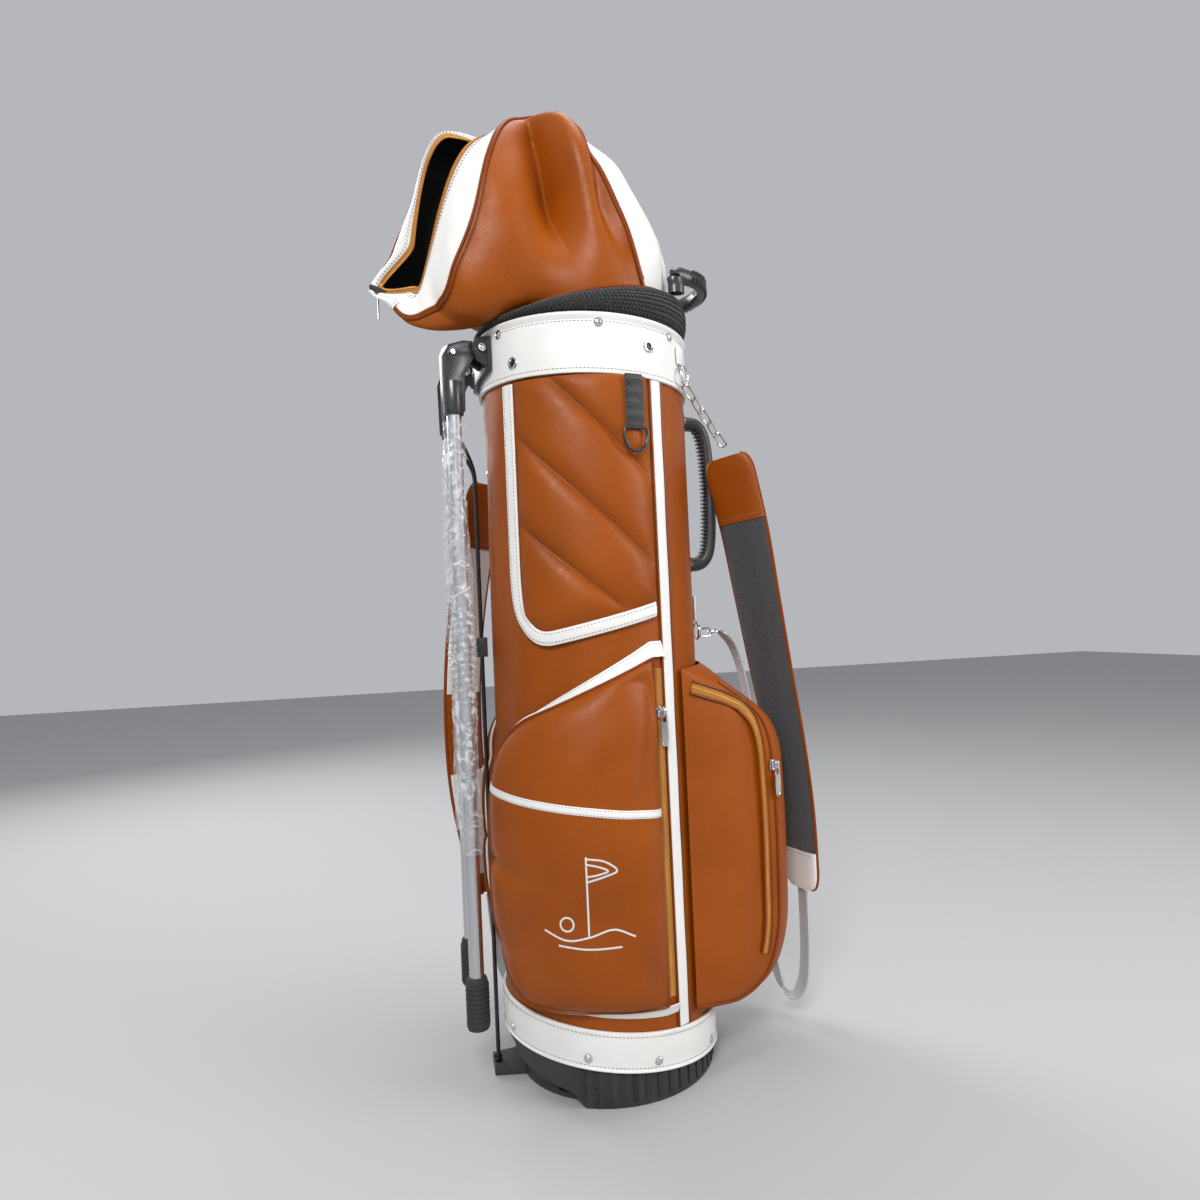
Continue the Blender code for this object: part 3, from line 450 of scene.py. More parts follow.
def make_leather_group():
    """Coated leather: pebble grain, patches of colour, faint creases, and where it shines."""
    group, given, result = shader_group(
        "leather_face",
        [("Colour", "NodeSocketColor", (1, 1, 1, 1)), ("Shade", "NodeSocketColor", (0, 0, 0, 1)),
         ("Grain", "NodeSocketFloat", 900.0), ("Rough", "NodeSocketFloat", 0.42)],
        [("Colour", "NodeSocketColor"), ("Roughness", "NodeSocketFloat"), ("Height", "NodeSocketFloat")])
    place = add_node(group, "ShaderNodeTexCoord").outputs["Object"]
    cells = add_node(group, "ShaderNodeTexVoronoi", [("Vector", place),
        ("Scale", given.outputs["Grain"]), ("Randomness", 0.9)], feature="SMOOTH_F1")
    creases = add_node(group, "ShaderNodeTexNoise", [("Vector", place), ("Scale", 90.0),
        ("Detail", 6.0), ("Roughness", 0.62), ("Distortion", 0.8)])
    patches = add_node(group, "ShaderNodeTexNoise", [("Vector", place), ("Scale", 9.0), ("Detail", 3.0)])
    patch_share = add_node(group, "ShaderNodeMapRange", [("Value", patches.outputs["Fac"]),
        ("From Min", 0.38), ("From Max", 0.70), ("To Min", 0.0), ("To Max", 0.55)])
    pit_share = add_node(group, "ShaderNodeMapRange", [("Value", cells.outputs["Distance"]),
        ("From Min", 0.25), ("From Max", 0.75), ("To Min", 0.0), ("To Max", 0.35)])
    share = add_node(group, "ShaderNodeMath", [(0, patch_share.outputs["Result"]),
        (1, pit_share.outputs["Result"])], operation="ADD", use_clamp=True)
    colour = blend_colours(group, share.outputs[0], given.outputs["Colour"], given.outputs["Shade"])
    dull = add_node(group, "ShaderNodeMapRange", [("Value", creases.outputs["Fac"]), ("From Min", 0.3),
        ("From Max", 0.7), ("To Min", -0.07), ("To Max", 0.09)])
    rough = add_node(group, "ShaderNodeMath", [(0, given.outputs["Rough"]),
        (1, dull.outputs["Result"])], operation="ADD")
    grain = add_node(group, "ShaderNodeMath", [(0, cells.outputs["Distance"]), (1, -0.30)],
        operation="MULTIPLY")
    height = add_node(group, "ShaderNodeMath", [(0, creases.outputs["Fac"]), (1, grain.outputs[0])],
        operation="ADD")
    group.links.new(colour, result.inputs["Colour"])
    group.links.new(rough.outputs[0], result.inputs["Roughness"])
    group.links.new(height.outputs[0], result.inputs["Height"])
    return group


leather_face = make_leather_group()


def leather(name, colour, shade, grain=900.0, rough=0.42, depth=0.00028, coat=0.0):
    made, tree, shader = empty_material(name, Coat_Weight=coat, Coat_Roughness=0.25, Specular_IOR_Level=0.22)
    face = use_group(tree, leather_face, Colour=(*colour, 1), Shade=(*shade, 1), Grain=grain, Rough=rough)
    tree.links.new(face.outputs["Colour"], shader.inputs["Base Color"])
    tree.links.new(face.outputs["Roughness"], shader.inputs["Roughness"])
    bump(tree, shader, face.outputs["Height"], depth)
    return made


tan_leather = leather("tan_leather", TAN, TAN_SHADE)
tan_binding = leather("tan_binding", (0.215, 0.045, 0.0018), (0.140, 0.026, 0.0009), 1300.0, 0.34,
    0.00015)
white_leather = leather("white_leather", WHITE, WHITE_SHADE, 1000.0, 0.40, 0.00022)


def make_weave_group():
    """Plain weave: two sets of threads that cross, and a colour for high and low threads."""
    group, given, result = shader_group(
        "weave_face",
        [("Colour", "NodeSocketColor", (1, 1, 1, 1)), ("Shade", "NodeSocketColor", (0, 0, 0, 1)),
         ("Threads", "NodeSocketFloat", 2500.0)],
        [("Colour", "NodeSocketColor"), ("Height", "NodeSocketFloat")])
    place = add_node(group, "ShaderNodeTexCoord").outputs["Object"]
    parts = add_node(group, "ShaderNodeSeparateXYZ", [("Vector", place)])
    level_sum = add_node(group, "ShaderNodeMath", [(0, parts.outputs["X"]), (1, parts.outputs["Y"])],
        operation="ADD")
    waves = []
    for output in (level_sum.outputs[0], parts.outputs["Z"]):
        stretched = add_node(group, "ShaderNodeMath", [(0, output), (1, given.outputs["Threads"])],
            operation="MULTIPLY")
        waves.append(add_node(group, "ShaderNodeMath", [(0, stretched.outputs[0])], operation="SINE"))
    crossed = add_node(group, "ShaderNodeMath", [(0, waves[0].outputs[0]), (1, waves[1].outputs[0])],
        operation="MULTIPLY")
    fuzz = add_node(group, "ShaderNodeTexNoise", [("Vector", place), ("Scale", 700.0), ("Detail", 3.0)])
    mixed = add_node(group, "ShaderNodeMath", [(0, crossed.outputs[0]), (1, fuzz.outputs["Fac"])],
        operation="ADD")
    share = add_node(group, "ShaderNodeMapRange", [("Value", mixed.outputs[0]), ("From Min", -0.5),
        ("From Max", 1.5)])
    group.links.new(blend_colours(group, share.outputs["Result"], given.outputs["Shade"],
        given.outputs["Colour"]), result.inputs["Colour"])
    group.links.new(mixed.outputs[0], result.inputs["Height"])
    return group


weave_face = make_weave_group()


def cloth(name, colour, shade, threads, rough=0.85, depth=0.0003, sheen=0.0):
    made, tree, shader = empty_material(name, Roughness=rough, Sheen_Weight=sheen)
    face = use_group(tree, weave_face, Colour=(*colour, 1), Shade=(*shade, 1), Threads=threads)
    tree.links.new(face.outputs["Colour"], shader.inputs["Base Color"])
    bump(tree, shader, face.outputs["Height"], depth)
    return made


dark_lining = cloth("dark_lining", (0.030, 0.030, 0.033), (0.012, 0.012, 0.014), 3200.0)


def surface(point, us, vs):
    """Grid of points, one row for each u."""
    return [[point(u, v) for v in vs] for u in us]


def grid_normals(grid, closed=False):
    """Unit normals of a grid, by the difference of neighbours."""
    rows, columns = len(grid), len(grid[0])
    normals = []
    for i in range(rows):
        before = grid[(i - 1) % rows] if (closed or i) else grid[i]
        after = grid[(i + 1) % rows] if (closed or i < rows - 1) else grid[i]
        line = []
        for j in range(columns):
            up = grid[i][min(columns - 1, j + 1)] - grid[i][max(0, j - 1)]
            line.append((after[j] - before[j]).cross(up).normalized())
        normals.append(line)
    return normals


def shell(name, point, us, vs, thick, face, back=None, closed=False):
    """Closed sheet of a thickness behind the surface point(u, v), with its UV map in u and v.

    closed joins the last u to the first. The front faces away from the bag's axis, or from the
    middle of a closed surface."""
    front = surface(point, us, vs)
    normals = grid_normals(front, closed)
    every = [p for line in front for p in line]
    middle = sum(every, Vector()) / len(every) if closed else Vector()
    outward = sum((p - middle).xy.dot(n.xy) for line, side in zip(front, normals) for p,
        n in zip(line, side))
    sign = 1 if outward > 0 else -1
    rows, columns = len(us), len(vs)
    bm = bmesh.new()
    chart = bm.loops.layers.uv.new("chart")
    out = [[bm.verts.new(p) for p in line] for line in front]
    rear = [[bm.verts.new(p - n * (thick * sign)) for p, n in zip(line, side)]
            for line, side in zip(front, normals)]

    def patch(corners, places, index):
        made = bm.faces.new(corners)
        made.material_index = index
        for loop, (i, j) in zip(made.loops, places):
            loop[chart].uv = (us[i % rows] + (us[-1] + us[1] - us[0] if i >= rows else 0), vs[j])

    spans = rows if closed else rows - 1
    for i in range(spans):
        k = (i + 1) % rows
        for j in range(columns - 1):
            places = [(i, j), (i + 1, j), (i + 1, j + 1), (i, j + 1)]
            patch((out[i][j], out[k][j], out[k][j + 1], out[i][j + 1]), places, 0)
            patch((rear[i][j], rear[i][j + 1], rear[k][j + 1], rear[k][j]),
                  [places[0], places[3], places[2], places[1]], 1 if back else 0)
        for j, last in ((0, False), (columns - 1, True)):
            corners = [out[i][j], rear[i][j], rear[k][j], out[k][j]]
            patch(corners[::-1] if last else corners, [(i, j)] * 4, 0)
    if not closed:
        for i, last in ((0, False), (rows - 1, True)):
            for j in range(columns - 1):
                corners = [out[i][j], out[i][j + 1], rear[i][j + 1], rear[i][j]]
                patch(corners[::-1] if last else corners, [(i, j)] * 4, 0)
    bmesh.ops.recalc_face_normals(bm, faces=bm.faces)
    return place_mesh(name, bm, *([face, back] if back else [face]))


def skin_radius(turn, z):
    """Radius of the skin: upright folds on the leg side, fading to nothing at collar and base."""
    leg_side = smoothstep(98, 140, abs((turn + 180) % 360 - 180))
    fade = smoothstep(0.060, 0.16, z) * (1 - smoothstep(0.68, 0.765, z))
    crease = 0.5 + 0.5 * sin(radians(turn * 9.0) + 2.2 * sin(z * 5.0))
    slow = noise.noise(Vector((cos(radians(turn)) * 2.2, sin(radians(turn)) * 2.2, z * 6.0)))
    return BODY_R - 0.0030 * leg_side * fade * crease ** 1.5 - 0.0006 * (0.5 + 0.5 * slow)


SKIN_TURNS = 300
skin = shell("bag_skin", lambda turn, z: polar(skin_radius(turn, z), turn, z),
    [360.0 * k / SKIN_TURNS for k in range(SKIN_TURNS)], spread(SKIN_LOW, SKIN_HIGH, 110), SKIN_THICK,
    tan_leather, dark_lining, closed=True)
ready(skin, "bag", "tan_leather", "bag_tube")


# ---- Base band -----------------------------------------------------------------------------------
# White leather strip, folded over at its edges and lapped round the seam between skin and cup.
# It is sewn along both edges and held by domed rivets.

BAND_R = 0.1238
BAND_HEIGHT = 0.041
BAND_STEPS = 180
STITCH = (0.0030, 0.0008, 0.0007)
STITCH_PITCH = 0.0042


def ring_strip(name, section, steps, finish):
    """Closed ring round the bag. section(turn) lists (radius, z) round the strip's cross-section."""
    bm = bmesh.new()
    loops = []
    for k in range(steps):
        turn = 360.0 * k / steps
        loops.append([bm.verts.new(polar(r, turn, z)) for r, z in section(turn)])
    count = len(loops[0])
    for k in range(steps):
        here, there = loops[k], loops[(k + 1) % steps]
        for j in range(count):
            n = (j + 1) % count
            bm.faces.new((here[j], there[j], there[n], here[n]))
    bmesh.ops.recalc_face_normals(bm, faces=bm.faces)
    return place_mesh(name, bm, finish)


def arc_points(radius, z, reach, start, end, steps):
    """(radius, z) points on a small arc of a ring's cross-section."""
    return [(radius + reach * cos(radians(a)), z + reach * sin(radians(a)))
        for a in spread(start, end, steps)]


def ring_line(radius, height, start=0.0, end=360.0, step=1.5):
    """Line round the bag at height(turn), with its outward directions."""
    count = max(2, int((end - start) / step))
    return [(polar(radius, turn, height(turn)), polar(1, turn, 0)) for turn in spread(start, end, count)]


def band_low(turn):
    return BAND_LOW + BAND_SLOPE * BAND_R * cos(radians(turn))


def band_section(turn):
    """Folded edges at top and bottom, and a slight belly between them."""
    low = band_low(turn)
    high = low + BAND_HEIGHT
    wave = 0.0003 * sin(radians(turn * 7)) + 0.0002 * sin(radians(turn * 17))
    belly = [(BAND_R - 0.0012 + wave + 0.0006 * sin(pi * v), low + 0.006 + (BAND_HEIGHT - 0.009) * v)
             for v in spread(0.04, 0.96, 7)]
    return (arc_points(BAND_R - 0.0012, low + 0.0014, 0.0014, -100, 40, 5)
        + [(BAND_R - 0.0010, low + 0.0034)] + belly + arc_points(BAND_R - 0.0016, high - 0.0010, 0.0010,
        10, 100, 3) + [(BODY_R + 0.0004, high - 0.0002), (BODY_R + 0.0004, low)])


ready(ring_strip("base_band_leather", band_section, BAND_STEPS, white_leather), "bag", "white_leather",
    "base_band")


def thread(name, colour, shade):
    return cloth(name, colour, shade, 5200.0, 0.62, 0.0001)


pale_thread = thread("pale_thread", (0.275, 0.275, 0.270), (0.180, 0.180, 0.180))
amber_thread = thread("amber_thread", (0.207, 0.077, 0.0126), (0.126, 0.041, 0.0063))
band_stitches = [ring_line(BAND_R - 0.0006, lambda turn, up=up: band_low(turn) + up)
    for up in (0.0052, BAND_HEIGHT - 0.0042)]
ready(sew("base_band_stitches", band_stitches, STITCH_PITCH, STITCH, pale_thread), "bag", "white_leather")


def stud_tree():
    """Geometry Nodes tree: a domed rivet on a flange at every point, facing away from the surface."""
    tree = bpy.data.node_groups.new("stud_row", "GeometryNodeTree")
    tree.interface.new_socket("Geometry", in_out="INPUT", socket_type="NodeSocketGeometry")
    for socket, kind in (("Reach", "NodeSocketFloat"), ("Dome", "NodeSocketFloat"),
            ("Finish", "NodeSocketMaterial")):
        tree.interface.new_socket(socket, in_out="INPUT", socket_type=kind)
    tree.interface.new_socket("Geometry", in_out="OUTPUT", socket_type="NodeSocketGeometry")
    given, result = tree.nodes.new("NodeGroupInput"), tree.nodes.new("NodeGroupOutput")
    dots = add_node(tree, "GeometryNodeMeshToPoints", [("Mesh", given.outputs["Geometry"])])
    away = add_node(tree, "GeometryNodeInputNamedAttribute", [("Name", "away")], data_type="FLOAT_VECTOR")
    turned = add_node(tree, "FunctionNodeAlignRotationToVector",
        [("Vector", away.outputs["Attribute"])], axis="Z")
    ball = add_node(tree, "GeometryNodeMeshUVSphere", [("Segments", 16), ("Rings", 8), ("Radius", 1.0)])
    squat = add_node(tree, "ShaderNodeCombineXYZ", [("X", given.outputs["Reach"]),
        ("Y", given.outputs["Reach"]), ("Z", given.outputs["Dome"])])
    dome = add_node(tree, "GeometryNodeTransform", [("Geometry", ball.outputs["Mesh"]),
        ("Scale", squat.outputs["Vector"])])
    wide = add_node(tree, "ShaderNodeMath", [(0, given.outputs["Reach"]), (1, 1.22)], operation="MULTIPLY")
    rim = add_node(tree, "GeometryNodeMeshCylinder", [("Vertices", 20), ("Radius", wide.outputs[0]),
        ("Depth", 0.0007)])
    both = add_node(tree, "GeometryNodeJoinGeometry")
    tree.links.new(dome.outputs["Geometry"], both.inputs["Geometry"])
    tree.links.new(rim.outputs["Mesh"], both.inputs["Geometry"])
    placed = add_node(tree, "GeometryNodeInstanceOnPoints", [("Points", dots.outputs["Points"]),
        ("Instance", both.outputs["Geometry"]), ("Rotation", turned.outputs["Rotation"])])
    real = add_node(tree, "GeometryNodeRealizeInstances", [("Geometry", placed.outputs["Instances"])])
    painted = add_node(tree, "GeometryNodeSetMaterial", [("Geometry", real.outputs["Geometry"]),
        ("Material", given.outputs["Finish"])])
    tree.links.new(painted.outputs["Geometry"], result.inputs["Geometry"])
    return tree


stud_row = stud_tree()


def rivet_row(name, places, reach, dome, metal):
    """Domed rivet or screw heads, one for each place."""
    return run_tree(name, stud_row, places, Reach=reach, Dome=dome, Finish=metal)


base_rivets = [[(polar(BAND_R - 0.0002, turn, band_low(turn) + 0.0120), polar(1, turn, 0))]
    for turn in (-162, -113, -78, -37, 0, 37, 78, 113, 162)]
ready(rivet_row("base_rivets", base_rivets, 0.0038, 0.0020, chrome), "bag", "chrome")


# ---- Collar --------------------------------------------------------------------------------------
# White leather cuff round the mouth with a rolled and sewn top lip, a row of stitches along its
# lower edge, rivets through the top seam, and snap sockets that hold the rain hood.

COLLAR_HEIGHT = 0.066
COLLAR_R = 0.1238


def collar_low(turn):
    return COLLAR_LOW + COLLAR_SLOPE * COLLAR_R * cos(radians(turn))


def collar_section(turn):
    low = collar_low(turn)
    high = low + COLLAR_HEIGHT
    wave = 0.0003 * sin(radians(turn * 5 + 40)) + 0.00015 * sin(radians(turn * 23))
    middle = [(COLLAR_R - 0.0010 + wave * sin(pi * v), low + 0.003 + (COLLAR_HEIGHT - 0.013) * v)
              for v in spread(0.0, 1.0, 8)]
    seam = [(COLLAR_R - 0.0018, high - 0.0088), (COLLAR_R - 0.0012, high - 0.0078)]
    return (arc_points(COLLAR_R - 0.0018, low + 0.0010, 0.0010, -90, 0, 3) + middle + seam
            + arc_points(COLLAR_R - 0.0024, high - 0.0032, 0.0030, -30, 110, 8)
            + [(BODY_R + 0.0004, high - 0.0010), (BODY_R + 0.0004, low)])


ready(ring_strip("collar_leather", collar_section, BAND_STEPS, white_leather), "bag", "white_leather",
    "top_collar")
collar_stitches = [ring_line(COLLAR_R - 0.0007, lambda turn: collar_low(turn) + 0.0052),
    ring_line(COLLAR_R - 0.0008, lambda turn: collar_low(turn) + COLLAR_HEIGHT - 0.0108)]
ready(sew("collar_stitches", collar_stitches, STITCH_PITCH, STITCH, pale_thread), "bag", "white_leather")
collar_rivets = [[(polar(COLLAR_R - 0.0004, turn, collar_low(turn) + COLLAR_HEIGHT - 0.0118),
    polar(1, turn, 0))] for turn in (-148, -92, -48, 20, 48, 92, 148)]
ready(rivet_row("collar_rivets", collar_rivets, 0.0040, 0.0021, chrome), "bag", "chrome")


def smooth_line(points, count, closed=False):
    """count + 1 points on one smooth curve through the given ones."""
    points = [Vector(p) for p in points]
    ends = ([points[-1]] + points + points[:2]) if closed else (
        [2 * points[0] - points[1]] + points + [2 * points[-1] - points[-2]])
    spans = len(points) if closed else len(points) - 1
    line = []
    for n in range(count + (0 if closed else 1)):
        t = n * spans / count
        i = min(int(t), spans - 1)
        u = t - i
        a, b, c, d = ends[i:i + 4]
        line.append(0.5 * ((2 * b) + (c - a) * u + (2 * a - 5 * b + 4 * c - d) * u * u
            + (3 * b - a - 3 * c + d) * u ** 3))
    return line


def tube(name, lines, radius, finish, sides=10, closed=False, flat=1.0, across=None):
    """Round bars along lines of points. radius may be a function of the share along the line.

    flat scales the section along across, a direction or a function of the point."""
    bm = bmesh.new()
    for line in lines:
        count = len(line)
        side = None
        loops = []
        for i, here in enumerate(line):
            before = line[i - 1] if (i or closed) else here
            after = line[(i + 1) % count] if (i < count - 1 or closed) else here
            along = (after - before).normalized()
            if across is not None:
                side = Vector(across(here) if callable(across) else across)
            elif side is None:
                side = along.orthogonal()
            side = (side - along * side.dot(along)).normalized()
            third = along.cross(side)
            reach = radius(i / (count - 1)) if callable(radius) else radius
            loops.append([bm.verts.new(here + side * reach * flat * cos(2 * pi * k / sides) + third
                * reach * sin(2 * pi * k / sides)) for k in range(sides)])
        for i in range(count if closed else count - 1):
            a, b = loops[i], loops[(i + 1) % count]
            for k in range(sides):
                n = (k + 1) % sides
                bm.faces.new((a[k], a[n], b[n], b[k]))
        if not closed:
            bm.faces.new(list(reversed(loops[0])))
            bm.faces.new(loops[-1])
    bmesh.ops.recalc_face_normals(bm, faces=bm.faces)
    return place_mesh(name, bm, finish)


def circle_points(centre, first, second, steps):
    """Points of an ellipse with the half-axes first and second."""
    return [centre + first * cos(2 * pi * k / steps) + second * sin(2 * pi * k / steps)
        for k in range(steps)]


def ring_frame(turn):
    """Sideways and upward directions on the bag's side at a turn."""
    return Vector((-sin(radians(turn)), cos(radians(turn)), 0)), Vector((0, 0, 1))


SOCKETS = [(-138, 0.018), (-65, 0.035), (-35, 0.026), (35, 0.026), (65, 0.035), (138, 0.018)]
socket_rings, socket_cores = [], []
for turn, up in SOCKETS:
    side, lift = ring_frame(turn)
    centre = polar(COLLAR_R + 0.0002, turn, collar_low(turn) + up)
    socket_rings.append(circle_points(centre, side * 0.0050, lift * 0.0050, 20))
    socket_cores.append([(centre - polar(0.0007, turn, 0), polar(1, turn, 0))])
ready(tube("snap_sockets", socket_rings, 0.0014, chrome, 8, closed=True), "bag", "chrome")
ready(rivet_row("snap_socket_cores", socket_cores, 0.0036, 0.0008, dark_steel), "bag", "dark_steel")


# ---- Knitted rim ---------------------------------------------------------------------------------
# Foam ring in a tube of coarse black knit, higher on the spine side. The knit is two slanting
# rows of thick stitches for every rib, laid round the foam.

RIM_IN, RIM_OUT = 0.103, 0.1265
RIM_SLOPE = 0.16
KNIT_ROWS = 22


def rim_point(turn, around, proud=0.0):
    """Point on the padded rim; around goes round its cross-section in degrees."""
    x = BODY_R * cos(radians(turn))
    low = COLLAR_LOW + COLLAR_HEIGHT + COLLAR_SLOPE * x + 0.0012
    high = COLLAR_LOW + COLLAR_HEIGHT + 0.026 + RIM_SLOPE * x
    middle, half = (low + high) / 2, (high - low) / 2
    centre, width = (RIM_IN + RIM_OUT) / 2, (RIM_OUT - RIM_IN) / 2
    return polar(centre + (width + proud) * cos(radians(around)), turn,
        middle + (half + proud) * sin(radians(around)))


knit = cloth("black_knit", (0.020, 0.020, 0.022), (0.008, 0.008, 0.009), 4200.0, 0.88, 0.0003, 0.25)
rim_core = ring_strip("rim_foam", lambda turn: [(p.xy.length, p.z)
    for p in (rim_point(turn, a, -0.0010) for a in spread(0, 345, 23))], 120, knit)
ready(rim_core, "bag", "black_knit", "top_rim")


def rim_row(around):
    line = []
    for turn in spread(0, 360, 240):
        here = rim_point(turn, around, -0.0006)
        centre = (rim_point(turn, 0) + rim_point(turn, 180)) / 2
        line.append((here, (here - centre).normalized()))
    return line


for part, offset, slant in (("a", 0, 0.62), ("b", 1, -0.62)):
    rows = [rim_row(-70 + (360 * (2 * k + offset)) / KNIT_ROWS) for k in range(KNIT_ROWS // 2)]
    ready(sew(f"rim_knit_{part}", rows, 0.0046, (0.0062, 0.0032, 0.0026), knit, slant=slant), "bag",
        "black_knit")

divider_cloth = cloth("divider_cloth", (0.024, 0.024, 0.026), (0.010, 0.010, 0.011), 2600.0, 0.9, 0.0003)
coat_node("club_divider", divider_cloth)
DIVIDER_TOP = 0.824
DIVIDER_REACH = 0.0985
divider_lines = [[Vector((-DIVIDER_REACH, 0, DIVIDER_TOP)), Vector((DIVIDER_REACH, 0, DIVIDER_TOP))]]
for x in (-0.036, 0.036):
    divider_lines.append([Vector((x, -0.089, DIVIDER_TOP)), Vector((x, 0.089, DIVIDER_TOP))])
divider_lines = [[start.lerp(end, k / 16) for k in range(17)] for start, end in divider_lines]
ready(tube("divider_padding", divider_lines, 0.0068, divider_cloth, 12), "bag", "black_knit")


# ---- Flank stripes -------------------------------------------------------------------------------
# Smooth white leather strip from base band to collar on each flank, laid over the skin's seam and
# edged on both sides with thin tan piping.

STRIPE_ANGLE, STRIPE_HALF = 60.0, 3.6
STRIPE_R = BODY_R + 0.0003
FLANKS = (("near", -1), ("far", 1))


def line_on(point, places):
    """Line through surface places, with the direction away from the bag's axis at each point."""
    line = [point(*place) for place in places]
    return [(p, Vector((p.x, p.y, 0)).normalized()) for p in line]


for side, sign in FLANKS:
    stripe_low = BAND_LOW + BAND_SLOPE * 0.060 + BAND_HEIGHT + 0.001
    stripe_high = COLLAR_LOW + COLLAR_SLOPE * 0.060 + 0.002

    def stripe_point(turn, z):
        share = (abs(turn) - STRIPE_ANGLE) / STRIPE_HALF
        return polar(STRIPE_R + 0.0017 * (1 - share ** 6) ** 0.5 + 0.0002 * sin(z * 60), turn, z)

    turns = [sign * (STRIPE_ANGLE + sign * STRIPE_HALF * 0.999 * s) for s in spread(-1, 1, 10)]
    strip = shell(f"stripe_{side}", stripe_point, turns, spread(stripe_low, stripe_high, 60), 0.0010,
        white_leather)
    ready(strip, "bag", "white_leather", f"flank_stripe_{side}")
    edges = [[polar(STRIPE_R + 0.0008, sign * (STRIPE_ANGLE + edge * (STRIPE_HALF + 0.5)), z)
              for z in spread(stripe_low, stripe_high, 40)] for edge in (-1, 1)]
    ready(tube(f"stripe_piping_{side}", edges, 0.0014, tan_binding, 8), "bag", "tan_leather")


# ---- Quilted panels ------------------------------------------------------------------------------
# Padded tan leather on each flank under the collar, sewn through along three slanting double rows
# and bound round its outer and lower edge with white leather tape.

PANEL_FROM, PANEL_TO = 67.0, 146.0
PANEL_THICK = 0.0105
PANEL_TOP = 0.7645
CHANNELS = ((121.5, 0.772, 68.0, 0.657), (146.0, 0.724, 67.0, 0.562), (147.0, 0.628, 83.0, 0.513))
CHANNEL_WIDE = 0.0030
BINDING_WIDE = 0.0150


def panel_low(turn):
    """Lower edge of the panel: rises towards the stripe and rounds the corner on the leg side."""
    share = min(1.0, max(0.0, (turn - PANEL_FROM) / (PANEL_TO - PANEL_FROM)))
    return 0.474 + 0.034 * (1 - share) ** 1.3 + 0.052 * max(0.0, (share - 0.66) / 0.34) ** 2.6


def channel_gap(turn, z):
    """Distance to the nearest channel and to the panel's edge, in metres."""
    reach = radians(1) * BODY_R
    nearest = 1.0
    for turn_a, z_a, turn_b, z_b in CHANNELS:
        run = Vector(((turn_b - turn_a) * reach, z_b - z_a))
        here = Vector(((turn - turn_a) * reach, z - z_a))
        share = min(1.0, max(0.0, here.dot(run) / run.length_squared))
        nearest = min(nearest, (here - run * share).length)
    edge = min((turn - PANEL_FROM) * reach, (PANEL_TO - turn) * reach - BINDING_WIDE,
               (z - panel_low(turn)) * 0.92 - BINDING_WIDE, (PANEL_TOP + 0.004 - z) * 1.6)
    return nearest, max(0.0, edge)


def panel_radius(turn, z):
    """Pillow between the channels, with small puckers where the thread pulls."""
    gap, edge = channel_gap(turn, z)
    pillow = (1 - exp(-(gap / 0.0075) ** 1.15)) * (1 - exp(-(edge / 0.010) ** 1.1))
    pucker = 0.00045 * exp(-gap / 0.0055) * sin(z * 900 + turn * 2.3) * smoothstep(0.0, 0.002, gap)
    crease = 0.0006 * noise.noise(Vector((turn * 0.10, z * 40, 3.1))) * exp(-edge / 0.03)
    return BODY_R + 0.0016 + (PANEL_THICK - 0.0016) * (0.16 + 0.84 * pillow) + pucker + crease


